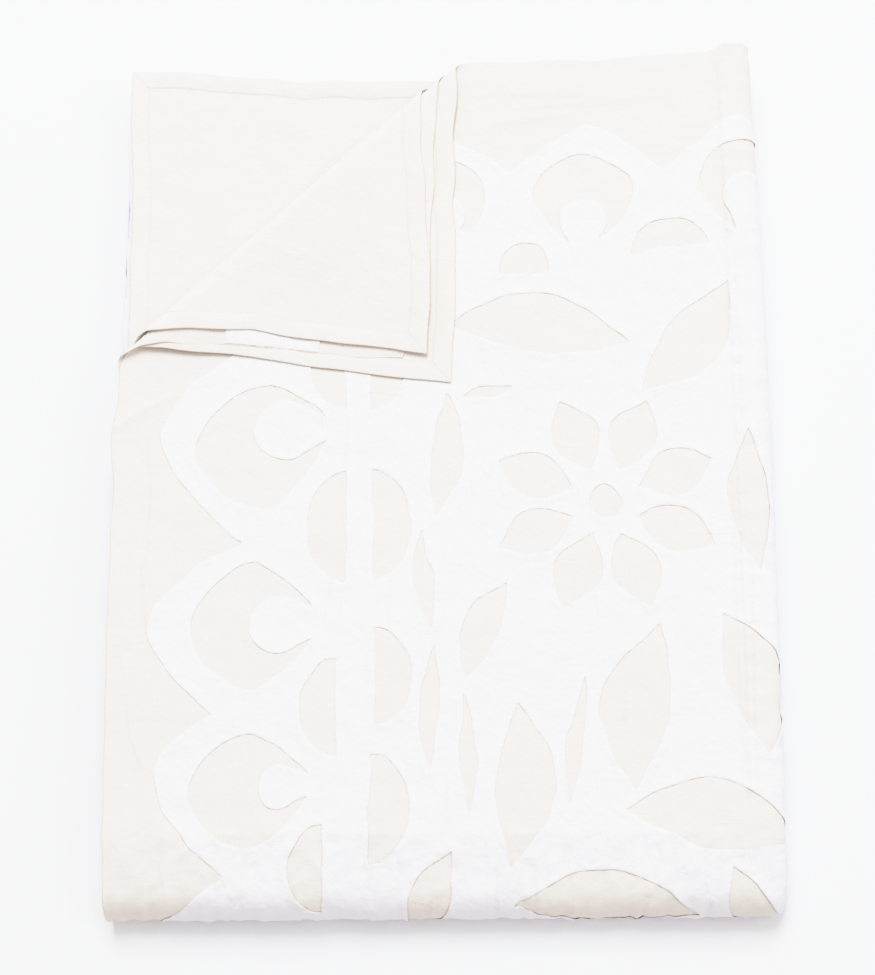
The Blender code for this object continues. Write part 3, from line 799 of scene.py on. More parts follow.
def cutwork_rim():
    """The outer edge of the cut-work, anticlockwise, and which of its points are seen."""
    near_s, far_s = MARGIN_A, CLOTH_WIDTH - MARGIN_A
    near_t, far_t = MARGIN_B, CLOTH_LENGTH - MARGIN_B
    side = scalloped_line(SIDE_SCALLOPS, SIDE_POWER)
    back = scalloped_line(BACK_SCALLOPS, BACK_POWER)
    back_start = (run_out(*back[0], near_t, -1), near_t)
    back_end = (run_out(*back[-1], near_t, 1), near_t)
    side_start = (near_s, run_out(*side[0], near_s, -1))
    side_end = (near_s, run_out(*side[-1], near_s, 1))
    bar_start, bar_end = HEM_BAR[0] * MM, HEM_BAR[1] * MM
    bar_s = CLOTH_WIDTH - HEM_BAR_INSET
    paths = [
        ([(near_s, near_t), back_start] + back + [back_end], True),
        ([back_end, (far_s, near_t)], False),
        ([(far_s, near_t), (far_s, bar_start), (bar_s, bar_start), (bar_s, bar_end), (far_s, bar_end),
          (far_s, SEEN_HEM_END)], True),
        ([(far_s, SEEN_HEM_END), (far_s, far_t), (near_s, far_t), (near_s, SEEN_FRONT_END)], False),
        ([(near_s, SEEN_FRONT_END), side_end] + [(s, t) for t, s in side[::-1]]
         + [side_start, (near_s, near_t)], True),
    ]
    points, seen = [], []
    for path, fine in paths:
        run = evenly(path, CUT_SPACING if fine else HIDDEN_RIM)
        points.append(run)
        seen.append(np.full(len(run), fine))
    return hand_cut(np.concatenate(points)), np.concatenate(seen)


# Triangles

def inset_rows(loop, depths, inward, seen=None):
    """Rows of points beside a closed loop, on the cloth's side."""
    ahead = np.roll(loop, -1, axis=0) - np.roll(loop, 1, axis=0)
    normal = np.stack([-ahead[:, 1], ahead[:, 0]], axis=-1) / np.hypot(*ahead.T)[:, None]
    normal *= inward * math.copysign(1, loop_area(loop))
    if seen is not None:
        loop, normal = loop[seen], normal[seen]
    rows = [np.column_stack([loop + normal * depth, np.full(len(loop), depth)]) for depth in depths]
    return np.concatenate(rows)


def nearest(points, targets):
    """Distance from each point to the nearest target."""
    tree = KDTree(len(targets))
    for k, (x, y) in enumerate(targets.tolist()):
        tree.insert((x, y, 0), k)
    tree.balance()
    return np.array([tree.find((x, y, 0))[2] for x, y in points.tolist()])


def hexagonal(low, high, spacing, seed):
    """Loose points over a rectangle, at an even spacing with a little play."""
    random = np.random.default_rng(seed)
    rows = max(2, round((high[1] - low[1]) / (spacing * ROW_RATIO)))
    columns = max(2, round((high[0] - low[0]) / spacing))
    x, y = np.meshgrid((np.arange(columns) + 0.5) / columns, (np.arange(rows) + 0.5) / rows)
    x = x + (np.arange(rows)[:, None] % 2 - 0.5) * 0.5 / columns
    points = np.stack([low[0] + x * (high[0] - low[0]), low[1] + y * (high[1] - low[1])], axis=-1)
    points = points.reshape(-1, 2)
    return points + random.uniform(-LOOSE_PLAY, LOOSE_PLAY, points.shape) * spacing


def triangulate(outer, holes, loose):
    """Triangles inside outer and outside the holes: points, triangles, places of the rim points."""
    loops = [outer] + holes
    starts = np.cumsum([0] + [len(loop) for loop in loops])
    rim_count = int(starts[-1])
    everything = np.concatenate(loops + [loose])
    faces = [list(range(start, end)) for start, end in zip(starts.tolist(), starts.tolist()[1:])]
    found = delaunay_2d_cdt([Vector(p) for p in everything.tolist()], [], faces, 1, MERGE)
    points = np.array([vert[:] for vert in found[0]])
    triangles = np.array([face for face, sources in zip(found[2], found[5]) if sources == [0]])
    places = np.full(rim_count, -1)
    for place, sources in enumerate(found[3]):
        for source in sources:
            if source < rim_count:
                places[source] = place
    used = np.unique(triangles)
    renamed = np.full(len(points), -1)
    renamed[used] = np.arange(len(used))
    corners = points[triangles]
    first, second = corners[:, 1] - corners[:, 0], corners[:, 2] - corners[:, 0]
    turned = first[:, 0] * second[:, 1] - first[:, 1] * second[:, 0] < 0
    triangles[turned] = triangles[turned][:, ::-1]
    return points[used], renamed[triangles], [renamed[places[s:e]] for s, e in zip(starts, starts[1:])]


def smooth_mesh(name, places, faces):
    """A mesh with soft shading."""
    mesh = bpy.data.meshes.new(name)
    mesh.from_pydata(places.tolist(), [], faces)
    mesh.shade_smooth()
    return mesh


def in_scene(name, data):
    """A new object in the scene."""
    item = bpy.data.objects.new(name, data)
    bpy.context.scene.collection.objects.link(item)
    return item


def loop_area(loop):
    """Signed double area of a closed loop: above zero where it runs anticlockwise."""
    x, y = loop.T
    return float(np.sum(x * np.roll(y, -1) - y * np.roll(x, -1)))


def closed_sheet(name, top, bottom, heights, edges):
    """A closed folded cloth: its face, its underside, and a wall along each rim.

    heights gives the lower and the upper height of flat points, and edges the distances of
    both sides' points from the nearest rim, kept for the material.
    """
    (top_points, top_faces, top_rims), (low_points, low_faces, low_rims) = top, bottom
    count = len(top_points)
    faces = [top_faces[:, ::-1], low_faces + count]
    for number, (upper, lower) in enumerate(zip(top_rims, low_rims)):
        if (loop_area(top_points[upper]) > 0) != (number == 0):
            upper, lower = upper[::-1], lower[::-1]
        after_upper, after_lower = np.roll(upper, -1), np.roll(lower, -1) + count
        faces.append(np.stack([upper, after_upper, after_lower], axis=-1))
        faces.append(np.stack([upper, after_lower, lower + count], axis=-1))
    faces = np.concatenate(faces)
    high = heights(*top_points.T, edges[0])[1]
    low = heights(*low_points.T, edges[1])[0]
    flat = np.concatenate([top_points, low_points])
    places = fold_points(flat[:, 0], flat[:, 1], np.concatenate([high, low]))
    mesh = smooth_mesh(name, places, faces.tolist())
    cloth_map = mesh.uv_layers.new(name="cloth")
    cloth_map.data.foreach_set("uv", flat[faces.reshape(-1)].astype(np.float32).reshape(-1))
    marks = {
        "rim": np.concatenate(edges),
        "face side": np.repeat([1.0, 0.0], [count, len(low_points)]),
        # Where the materials paint shade in the bottoms of the creases
        "painted_crease_shade": painted_crease_shade_share(*flat.T),
    }
    for mark, values in marks.items():
        stored = mesh.attributes.new(mark, "FLOAT", "POINT")
        stored.data.foreach_set("value", values.astype(np.float32))
    mesh.update()
    return in_scene(name, mesh)


# Where the triangles of each cloth go

def fold_rows(fold, bend, first_fold, first_bend, total, steps, first_steps=4):
    """Places of rows across all three folds along one way of the cloth."""
    rows = [fold + bend * k / steps for k in range(steps + 1)]
    rows += [first_fold + first_bend * k / first_steps for k in range(first_steps // 2 + 1)]
    return np.unique(np.round(rows + [total - row for row in rows], 7))


def line_places(rows, total, zones):
    """Places along one way of the cloth: the fold rows, and even ones between them."""
    stops = np.unique(np.concatenate([[0, total], rows, [z for zone in zones for z in zone[:2]]]))
    places = []
    for start, end in zip(stops, stops[1:]):
        middle = (start + end) / 2
        spacing = min([zone[2] for zone in zones if zone[0] <= middle <= zone[1]] + [HIDDEN_RIM])
        count = max(1, round((end - start) / spacing))
        places += [start + (end - start) * k / count for k in range(count)]
    return np.array(places + [total])


def in_folds(s, t):
    """Points on or close beside a fold of the cloth."""
    a, b = leaf_of(s, t)[2:]
    side = (a > SIDE_FOLD - FOLD_REACH) & (a < SIDE_FOLD + SIDE_BEND + FOLD_REACH)
    front = (b > FRONT_FOLD - FOLD_REACH) & (b < FRONT_FOLD + FRONT_BEND + FOLD_REACH)
    return side | front | (a > FIRST_FOLD - FOLD_REACH) | (b > SECOND_FOLD - FOLD_REACH)


def roll_rows():
    """Points in rows along the roll of the turned-back corner, for its three leaves."""
    across, along = math.cos(CREASE_TURN), math.sin(CREASE_TURN)
    depths = np.arange(-2, round(ROLL_BEND / ROLL_ACROSS) + 3) * ROLL_ACROSS
    travel = np.arange(-ROLL_HALF_LENGTH, ROLL_HALF_LENGTH, ROLL_ALONG)
    depth, travelled = np.meshgrid(depths, travel)
    distance = CREASE_DISTANCE - depth
    a = (distance * across - travelled * along).ravel()
    b = (distance * along + travelled * across).ravel()
    inside = (a > ROLL_INSET) & (b > ROLL_INSET)
    a, b = a[inside], b[inside]
    leaves = ((a, b), (CLOTH_WIDTH - a, b), (CLOTH_WIDTH - a, CLOTH_LENGTH - b))
    return [np.stack(leaf, axis=-1) for leaf in leaves]


def crease_rows():
    """Points in rows across each crease of the top leaf."""
    rows = []
    for start_a, start_b, end_a, end_b, _, width in TOP_CREASES:
        start = np.array([start_a, start_b]) * MM
        run = np.array([end_a - start_a, end_b - start_b]) * MM
        length = float(np.hypot(*run))
        side = np.array([-run[1], run[0]]) / length
        shares = np.linspace(0, 1, max(3, round(length / CREASE_STEP)))
        for offset in CREASE_OFFSETS:
            rows.append(start + shares[:, None] * run + side * offset * width * MM)
    return np.concatenate(rows)


def in_roll(s, t):
    """Points in the roll of the turned-back leaves."""
    far_s, far_t, a, b = leaf_of(s, t)
    reach = 2 * ROLL_ACROSS + FOLD_REACH
    depth = roll_depth(a, b)
    inside = (depth > -reach) & (depth < ROLL_BEND + reach)
    return inside & ~leaf_mask(far_s, far_t, "fourth") & (a < SIDE_FOLD) & (b < FRONT_FOLD)


def cloth_fill(spacings, seed):
    """Loose points over the leaves, each of (low corner, high corner, spacing, test)."""
    points = []
    for low, high, spacing, test in spacings:
        some = hexagonal(low, high, spacing, seed)
        seed += 1
        points.append(some[test(*some.T)])
    return np.concatenate(points)


def unique_points(points):
    """The points without repeats."""
    rounded = np.round(points / ROUND_TO).astype(np.int64)
    _, places = np.unique(rounded, axis=0, return_index=True)
    return points[np.sort(places)]


def corner_seen(s, t):
    """Parts of a hemmed leaf that lie in the turned-back or bared corner."""
    return roll_depth(*leaf_of(s, t)[2:]) > SEEN_DEPTH


def top_seen(a, b):
    """Parts of the top leaf that are seen from above."""
    return (roll_depth(a, b) < TOP_DEPTH) & (a < SIDE_FOLD) & (b < FRONT_FOLD)


def past_top(s, t):
    """Parts of the cloth past the side fold or the front fold."""
    a, b = leaf_of(s, t)[2:]
    return (a > SIDE_FOLD) | (b > FRONT_FOLD)


def leaf_regions(fine, seen, coarse):
    """Rectangles to fill, with a spacing and a test each, over the whole cloth."""
    width, length = SIDE_FOLD, FRONT_FOLD
    regions = [
        ((0, 0), (width, length), fine, top_seen),
        ((0, 0), (width, length), seen, lambda s, t: ~top_seen(s, t)),
    ]
    for low, high in (
        ((CLOTH_WIDTH - width, 0), (CLOTH_WIDTH, length)),
        ((CLOTH_WIDTH - width, CLOTH_LENGTH - length), (CLOTH_WIDTH, CLOTH_LENGTH)),
        ((0, CLOTH_LENGTH - length), (width, CLOTH_LENGTH)),
    ):
        regions.append((low, high, seen, corner_seen))
        regions.append((low, high, coarse, lambda s, t: ~corner_seen(s, t)))
    return regions + [((0, 0), (CLOTH_WIDTH, CLOTH_LENGTH), coarse, past_top)]


def from_edge(s, t):
    """Distance of flat points from the ground cloth's nearest edge."""
    return np.minimum(np.minimum(s, CLOTH_WIDTH - s), np.minimum(t, CLOTH_LENGTH - t))


def crossings(s_places, t_places):
    """Points on all fold rows, at the given places along the other way of the cloth."""
    ways = ((S_ROWS, t_places), (s_places, T_ROWS))
    return [np.stack(np.meshgrid(*way), axis=-1).reshape(-1, 2) for way in ways]


def hem_row(depth, s_places, t_places):
    """Points in a row at one depth along the four edges of the ground cloth."""
    far_s, far_t = CLOTH_WIDTH - depth, CLOTH_LENGTH - depth
    s_run = s_places[(s_places > depth) & (s_places < far_s)]
    t_run = t_places[(t_places > depth) & (t_places < far_t)]
    rows = [np.column_stack([s_run, np.full(len(s_run), t)]) for t in (depth, far_t)]
    rows += [np.column_stack([np.full(len(t_run), s), t_run]) for s in (depth, far_s)]
    return rows + [np.array([(s, t) for s in (depth, far_s) for t in (depth, far_t)])]


def ground_points(is_face):
    """Rim and loose points of one side of the ground cloth."""
    s_places = line_places(S_ROWS, CLOTH_WIDTH, GROUND_S_ZONES)
    t_places = line_places(T_ROWS, CLOTH_LENGTH, GROUND_T_ZONES)
    rim = [(s, 0.0) for s in s_places[:-1]] + [(CLOTH_WIDTH, t) for t in t_places[:-1]]
    rim += [(s, CLOTH_LENGTH) for s in s_places[:0:-1]] + [(0.0, t) for t in t_places[:0:-1]]
    rows = [row for depth in HEM_ROWS for row in hem_row(depth, s_places, t_places)]
    lattice = np.concatenate(rows + crossings(s_places[1:-1], t_places[1:-1]))
    lattice = lattice[from_edge(*lattice.T) > HEM_ROWS[0] / 2]
    regions = leaf_regions(*GROUND_SPACINGS[0 if is_face else 1])
    if is_face:
        regions.append(((0, FRONT_START), (SIDE_FOLD, FRONT_FOLD), FRONT_SPACING, top_seen))
    fill = cloth_fill(regions, seed=61)
    fill = fill[~in_folds(*fill.T) & ~in_roll(*fill.T)]
    inner = np.concatenate([fill] + roll_rows())
    inner = inner[from_edge(*inner.T) > HEM_CLEARANCE]
    creases = [crease_rows()] if is_face else []
    return np.array(rim), unique_points(np.concatenate([lattice, inner] + creases))


def make_ground():
    """The ground cloth with its doubled hems."""
    sides = []
    for is_face in (True, False):
        rim, loose = ground_points(is_face)
        sides.append(triangulate(rim, [], loose))
    insets = [from_edge(*points.T) for points, _, _ in sides]
    return closed_sheet("ground", *sides, lambda s, t, edge: ground_heights(s, t), insets)


def inner_places(rows, total, zones, margin):
    """Places along one way of the cloth that lie well inside the cut-work's straight margins."""
    places = line_places(rows, total, zones)
    margin += MARGIN_CLEARANCE
    return places[(places > margin) & (places < total - margin)]


def cutwork_side(rim, seen, holes, is_face):
    """Points, triangles and rims of one side of the cut-work, and distances from its edges."""
    depths = CUT_ROWS if is_face else CUT_ROWS[1:2]
    rows = [inset_rows(rim, depths, 1, seen)] + [inset_rows(hole, depths, -1) for hole in holes]
    rows = np.concatenate(rows)
    edges = np.concatenate([rim] + holes)
    rows = rows[nearest(rows[:, :2], edges) > ROW_CLEARANCE * rows[:, 2]]
    s_places = inner_places(S_ROWS, CLOTH_WIDTH, CUTWORK_S_ZONES, MARGIN_A)
    t_places = inner_places(T_ROWS, CLOTH_LENGTH, CUTWORK_T_ZONES, MARGIN_B)
    kind = 0 if is_face else 1
    fill = cloth_fill(leaf_regions(*CUTWORK_SPACINGS[kind]), seed=71)
    fill = fill[~in_folds(*fill.T) & ~in_roll(*fill.T)]
    creases = [crease_rows()] if is_face else []
    loose = unique_points(np.concatenate(crossings(s_places, t_places) + [fill] + creases + roll_rows()))
    loose = loose[nearest(loose, edges) > CUT_CLEARANCES[kind]]
    side = triangulate(rim, holes, np.concatenate([rows[:, :2], loose]))
    return side, nearest(side[0], dense_edges(rim, holes))


def dense_edges(rim, holes):
    """Points close together along all edges, to measure distances from."""
    runs = []
    for loop in [rim] + holes:
        after = np.roll(loop, -1, axis=0)
        for share in (0, 0.25, 0.5, 0.75):
            runs.append(loop + (after - loop) * share)
    return np.concatenate(runs)


def make_cutwork():
    """The white cut-work cloth with its turned-in edges."""
    rim, seen = cutwork_rim()
    holes = [hand_cut(closed_evenly(outline, CUT_SPACING)) for outline in openings()]
    top, top_edges = cutwork_side(rim, seen, holes, is_face=True)
    low, low_edges = cutwork_side(rim, seen, holes, is_face=False)
    return closed_sheet("cutwork", top, low, cutwork_heights, [top_edges, low_edges])


# Materials

class Amount:
    """A number in a material's nodes, on which arithmetic adds Math nodes."""

    def __init__(self, finish, socket):
        self.finish = finish
        self.socket = socket

    def __add__(self, other):
        return self.finish.maths("ADD", self, other)

    def __sub__(self, other):
        return self.finish.maths("SUBTRACT", self, other)

    def __rsub__(self, other):
        return self.finish.maths("SUBTRACT", other, self)

    def __mul__(self, other):
        return self.finish.maths("MULTIPLY", self, other)

    __radd__ = __add__
    __rmul__ = __mul__


class Finish:
    """A material under construction, with its Principled shader."""

    def __init__(self, name):
        self.material = bpy.data.materials.new(name)
        self.material.use_nodes = True
        self.nodes = self.material.node_tree.nodes
        self.links = self.material.node_tree.links
        self.shader = self.nodes["Principled BSDF"]

    def node(self, kind, settings=None, **sockets):
        """Add a node of a kind, with its settings, and the values or links of its sockets by number."""
        node = self.nodes.new(kind)
        for name, value in (settings or {}).items():
            setattr(node, name, value)
        for name, value in sockets.items():
            self.feed(node.inputs[int(name[1:])], value)
        return node

    def feed(self, socket, value):
        """Link a socket, or set its value."""
        if isinstance(value, Amount):
            self.links.new(value.socket, socket)
        elif isinstance(value, bpy.types.NodeSocket):
            self.links.new(value, socket)
        else:
            socket.default_value = value

    def maths(self, operation, first, second=0.0):
        """One Math node."""
        node = self.node("ShaderNodeMath", {"operation": operation}, _0=first, _1=second)
        return Amount(self, node.outputs[0])

    def fade(self, value, start, end):
        """Rise from 0 to 1 between start and end, with soft ends."""
        node = self.node("ShaderNodeMapRange", {"interpolation_type": "SMOOTHSTEP"},
                         _0=value, _1=start, _2=end, _3=0.0, _4=1.0)
        return Amount(self, node.outputs[0])

    def noise(self, place, scale, detail, rough=0.5):
        """Noise about 0.5 over a vector."""
        node = self.node("ShaderNodeTexNoise", None, _0=place)
        for name, value in (("Scale", scale), ("Detail", detail), ("Roughness", rough)):
            node.inputs[name].default_value = value
        return Amount(self, node.outputs[0])

    def streaks(self, place, across, along, detail):
        """Noise over a vector that is scaled unevenly."""
        scales = (across, along, 1.0)
        node = self.node("ShaderNodeVectorMath", {"operation": "MULTIPLY"}, _0=place, _1=scales)
        return self.noise(node.outputs[0], 1.0, detail)

    def mix(self, share, first, second):
        """One colour laid over another by a share."""
        node = self.node("ShaderNodeMix", {"data_type": "RGBA"})
        self.feed(node.inputs["Factor"], share)
        self.feed(node.inputs[6], (*first, 1.0) if isinstance(first, tuple) else first)
        self.feed(node.inputs[7], (*second, 1.0) if isinstance(second, tuple) else second)
        return node.outputs[2]

    def tinted(self, tone, *tints):
        """A tone with colours laid over it in turn, each by its share."""
        for share, colour in tints:
            tone = self.mix(share, tone, colour)
        return tone

    def attribute(self, name):
        """A number stored with the cloth's points."""
        node = self.node("ShaderNodeAttribute", {"attribute_name": name})
        return Amount(self, node.outputs["Fac"])

    def bump(self, height):
        """Surface relief from a height in metres."""
        node = self.node("ShaderNodeBump")
        node.inputs["Strength"].default_value = 1.0
        node.inputs["Distance"].default_value = 1.0
        self.feed(node.inputs["Height"], height)
        self.feed(self.shader.inputs["Normal"], node.outputs["Normal"])

    def finish(self, colour, roughness, sheen):
        """Colour, roughness and sheen of the shader."""
        self.feed(self.shader.inputs["Base Color"], colour)
        self.shader.inputs["Roughness"].default_value = roughness
        self.shader.inputs["Sheen Weight"].default_value = sheen
        self.shader.inputs["Sheen Roughness"].default_value = 0.6
        self.shader.inputs["Specular IOR Level"].default_value = 0.2
        return self.material


def weave(finish, s, t, pitch, depth):
    """Height of a plain weave: threads that pass over and under each other."""
    over = finish.maths("SINE", s * (math.pi / pitch))
    under = finish.maths("SINE", t * (math.pi / pitch))
    return over * under * depth


def flat_place(finish):
    """The cloth's flat coordinates as a vector and as two numbers."""
    place = finish.node("ShaderNodeUVMap", {"uv_map": "cloth"}).outputs[0]
    parts = finish.node("ShaderNodeSeparateXYZ", None, _0=place)
    return place, Amount(finish, parts.outputs[0]), Amount(finish, parts.outputs[1])


def wrinkles(finish, place):
    """Depth of scattered sharp wrinkles, mostly along the cloth's two ways."""
    where = finish.noise(place, scale=15.0, detail=1.0)
    lines = 0.0
    for across, along, start, end in ((34, 10, 0.52, 0.62), (9, 30, 0.60, 0.68)):
        away = finish.maths("ABSOLUTE", finish.streaks(place, across, along, detail=1.0) - 0.5)
        lines = (1 - finish.fade(away, 0.0, 0.020)) * finish.fade(where, start, end) + lines
    return lines


def natural_cotton():
    """Unbleached cotton: a plain weave with slubs and flecks, pressed hem edges with painted shade along
    their inner steps and a seam line at the mitre, painted warm shade along the rims, and painted shade in
    the creases.
    """
    finish = Finish("natural cotton")
    place, s, t = flat_place(finish)
    weft = finish.streaks(place, across=22, along=700, detail=3.0)
    warp = finish.streaks(place, across=700, along=22, detail=3.0)
    cloud = finish.noise(place, scale=26.0, detail=4.0, rough=0.6)
    crumpled = finish.noise(place, scale=120.0, detail=3.0, rough=0.55)
    slubs = finish.fade(weft, 0.63, 0.80) + finish.fade(warp, 0.66, 0.82)
    specks = finish.streaks(place, across=520, along=380, detail=1.0)
    flecks = finish.fade(specks, 0.79, 0.82)
    rim = finish.attribute("rim")
    # Bands at the hem's inner step and along the mitre, on the reverse only: tinted below as painted shade at
    # the step and a seam line at the mitre, and dented a little
    painted_step_shade = finish.fade(rim, 0.0152, 0.0157) * (1 - finish.fade(rim, 0.0160, 0.0167))
    across = finish.maths("ABSOLUTE", finish.maths("MINIMUM", s, CLOTH_WIDTH - s)
                          - finish.maths("MINIMUM", t, CLOTH_LENGTH - t))
    mitre = (1 - finish.fade(across, 0.0002, 0.0009)) * (1 - finish.fade(rim, 0.0150, 0.0156))
    lines = finish.maths("MAXIMUM", painted_step_shade, mitre) * (1 - finish.attribute("face side"))
    tone = finish.tinted(
        finish.mix(cloud, GROUND_DARK, GROUND_LIGHT),
        (slubs * 0.30, GROUND_SLUB),
        (flecks * 0.65, FLECK),
        # Painted shade along the hem's inner step, and the mitre's seam line
        (lines * 0.20, SEAM_LINE_AND_PAINTED_SHADE),
        # Painted warm shade along every rim of the ground cloth
        ((1 - finish.fade(rim, 0.0002, 0.0011)) * 0.45, PAINTED_RIM_SHADE),
        # Painted shade in the bottoms of the top leaf's creases
        (finish.attribute("painted_crease_shade") * 0.16, SEAM_LINE_AND_PAINTED_SHADE),
    )
    threads = weave(finish, s, t, pitch=0.00062, depth=0.00003) + (weft + warp) * 0.00011
    finish.bump(threads + crumpled * 0.00070 + cloud * 0.0016 + wrinkles(finish, place) * 0.00013
                - lines * 0.0001)
    return finish.finish(tone, roughness=0.88, sheen=0.12)


def white_cotton():
    """Bleached fine cotton, finely crinkled, a little denser where its edges are turned in, with painted
    shade along its turned edges and in the creases.
    """
    finish = Finish("white cotton")
    place, s, t = flat_place(finish)
    weft = finish.streaks(place, across=30, along=900, detail=2.0)
    warp = finish.streaks(place, across=900, along=30, detail=2.0)
    crinkle = finish.noise(place, scale=170.0, detail=3.0, rough=0.6)
    wave = finish.noise(place, scale=52.0, detail=3.0, rough=0.55)
    rim = finish.attribute("rim")
    gathers = finish.noise(place, scale=240.0, detail=2.0)
    gathered = (1 - finish.fade(rim, 0.002, 0.009)) * gathers
    tone = finish.tinted(
        finish.mix(wave, WHITE_DARK, WHITE_LIGHT),
        ((1 - finish.fade(rim, 0.0035, 0.0055)) * 0.6, WHITE_DENSE),
        # Painted shade along the turned edges of the cut-work
        ((1 - finish.fade(rim, 0.0003, 0.0012)) * 0.22, PAINTED_EDGE_SHADE),
        # Painted shade in the bottoms of the top leaf's creases
        (finish.attribute("painted_crease_shade") * 0.20, PAINTED_EDGE_SHADE),
    )
    threads = weave(finish, s, t, pitch=0.00038, depth=0.00002) + (weft + warp) * 0.00005
    finish.bump(threads + crinkle * 0.00070 + wave * 0.0022 + gathered * 0.0005
                + wrinkles(finish, place) * 0.00026)
    return finish.finish(tone, roughness=0.82, sheen=0.10)


def sewing_thread():
    """Fine cotton thread with a twist."""
    finish = Finish("sewing thread")
    place = finish.node("ShaderNodeTexCoord").outputs["Object"]
    twist = finish.streaks(place, across=1800, along=1800, detail=1.0)
    finish.bump(twist * 0.00006)
    return finish.finish(finish.mix(twist, THREAD_DARK, THREAD_LIGHT), roughness=0.7, sheen=0.1)


# Sewing

STITCH_NODES = {
    "given": "NodeGroupInput",
    "result": "NodeGroupOutput",
    "curve": "GeometryNodeMeshToCurve",
    "spaced": "GeometryNodeResampleCurve",
    "bead": "GeometryNodeMeshUVSphere",
    "half": "ShaderNodeMath",
    "size": "ShaderNodeCombineXYZ",
    "tangent": "GeometryNodeInputTangent",
    "turn": "FunctionNodeAlignRotationToVector",
    "lay": "GeometryNodeInstanceOnPoints",
    "real": "GeometryNodeRealizeInstances",
    "dressed": "GeometryNodeSetMaterial",
}
# Links of the tree: from node, its output, to node, its input
STITCH_LINKS = (
    ("given", "Geometry", "curve", 0), ("curve", 0, "spaced", "Curve"),
    ("given", "Pitch", "spaced", "Length"), ("spaced", 0, "lay", "Points"),
    ("given", "Length", "half", 0), ("half", 0, "size", 0), ("given", "Thread", "size", 1),
    ("given", "Thread", "size", 2), ("size", 0, "lay", "Scale"), ("bead", "Mesh", "lay", "Instance"),
    ("tangent", 0, "turn", "Vector"), ("turn", 0, "lay", "Rotation"),
    ("lay", 0, "real", 0), ("real", 0, "dressed", "Geometry"), ("dressed", 0, "result", 0),
)
# Named inputs of the tree: spacing and length of the stitches, and radius of their thread
STITCH_SIZES = {"Pitch": STITCH_PITCH, "Length": STITCH_LENGTH, "Thread": THREAD_RADIUS}


def stitch_tree(thread):
    """A tree of nodes that lays stitches along lines, with named inputs for their sizes."""
    tree = bpy.data.node_groups.new("hem stitches", "GeometryNodeTree")
    for way in ("INPUT", "OUTPUT"):
        tree.interface.new_socket("Geometry", in_out=way, socket_type="NodeSocketGeometry")
    for name in STITCH_SIZES:
        tree.interface.new_socket(name, in_out="INPUT", socket_type="NodeSocketFloat")
    nodes = {name: tree.nodes.new(kind) for name, kind in STITCH_NODES.items()}
    nodes["spaced"].mode = "LENGTH"
    nodes["half"].operation = "MULTIPLY"
    nodes["turn"].axis = "X"
    values = (
        ("bead", "Segments", 6),
        ("bead", "Rings", 4),
        ("bead", "Radius", 1.0),
        ("half", 1, 0.5),
        ("dressed", "Material", thread),
    )
    for name, socket, value in values:
        nodes[name].inputs[socket].default_value = value
    for start, output, end, socket in STITCH_LINKS:
        tree.links.new(nodes[start].outputs[output], nodes[end].inputs[socket])
    return tree


def stitched(lines, thread):
    """Flat stitches along flat lines, made by the tree, as one plain mesh."""
    places, edges = [], []
    for line in lines:
        edges += [(len(places) + k, len(places) + k + 1) for k in range(len(line) - 1)]
        places += [(s, t, 0.0) for s, t in line]
    mesh = bpy.data.meshes.new("hem lines")
    mesh.from_pydata(places, edges, [])
    carrier = in_scene("hem lines", mesh)
    modifier = carrier.modifiers.new("stitches", "NODES")
    modifier.node_group = stitch_tree(thread)
    for item in modifier.node_group.interface.items_tree:
        if item.in_out == "INPUT" and item.name in STITCH_SIZES:
            modifier[item.identifier] = STITCH_SIZES[item.name]
    graph = bpy.context.evaluated_depsgraph_get()
    made = bpy.data.meshes.new_from_object(carrier.evaluated_get(graph))
    carrier.modifiers.clear()
    bpy.data.objects.remove(carrier, do_unlink=True)
    return made


def hem_lines():
    """Flat lines of the hem seams near the corner of the four upper leaves."""
    start = HEM_WIDTH - STITCH_INSET
    side = [(start, start + (FRONT_FOLD - start) * k / SIDE_LINE_STEPS) for k in range(SIDE_LINE_STEPS + 1)]
    back = [(start + (SIDE_FOLD - start) * k / BACK_LINE_STEPS, start) for k in range(BACK_LINE_STEPS + 1)]
    return [
        [(CLOTH_WIDTH - a if far_s else a, CLOTH_LENGTH - b if far_t else b) for a, b in line]
        for far_s in (False, True) for far_t in (False, True) for line in (side, back)
    ]


def make_hem_stitches(thread):
    """Stitches on the reverse of the hems."""
    flat = stitched(hem_lines(), thread)
    places = np.empty(len(flat.vertices) * 3)
    flat.vertices.foreach_get("co", places)
    s, t, up = places.reshape(-1, 3).T
    reverse = ground_heights(s, t)[0]
    faces = [list(polygon.vertices) for polygon in flat.polygons]
    mesh = smooth_mesh("hem_stitches", fold_points(s, t, reverse - up - THREAD_SINK), faces)
    bpy.data.meshes.remove(flat)
    return in_scene("hem_stitches", mesh)


# Studio

def studio_floor():
    """A wide pale floor under the pack."""
    corners = [(x, y, FLOOR_LEVEL) for x, y in ((-6, -6), (6, -6), (6, 6), (-6, 6))]
    mesh = bpy.data.meshes.new("studio_floor")
    mesh.from_pydata(corners, [], [(0, 1, 2, 3)])
    pale = Finish("pale floor").finish((*FLOOR_COLOUR, 1.0), roughness=0.9, sheen=0.0)
    mesh.materials.append(pale)
    in_scene("studio_floor", mesh)


def soft_light(name, place, aim, size, power):
    """A square area light that looks at a point."""
    light = bpy.data.lights.new(name, "AREA")
    light.shape = "SQUARE"
    light.size = size
    light.energy = power
    lamp = in_scene(name, light)
    lamp.location = place
    lamp.rotation_euler = (Vector(aim) - Vector(place)).to_track_quat("-Z", "Y").to_euler()


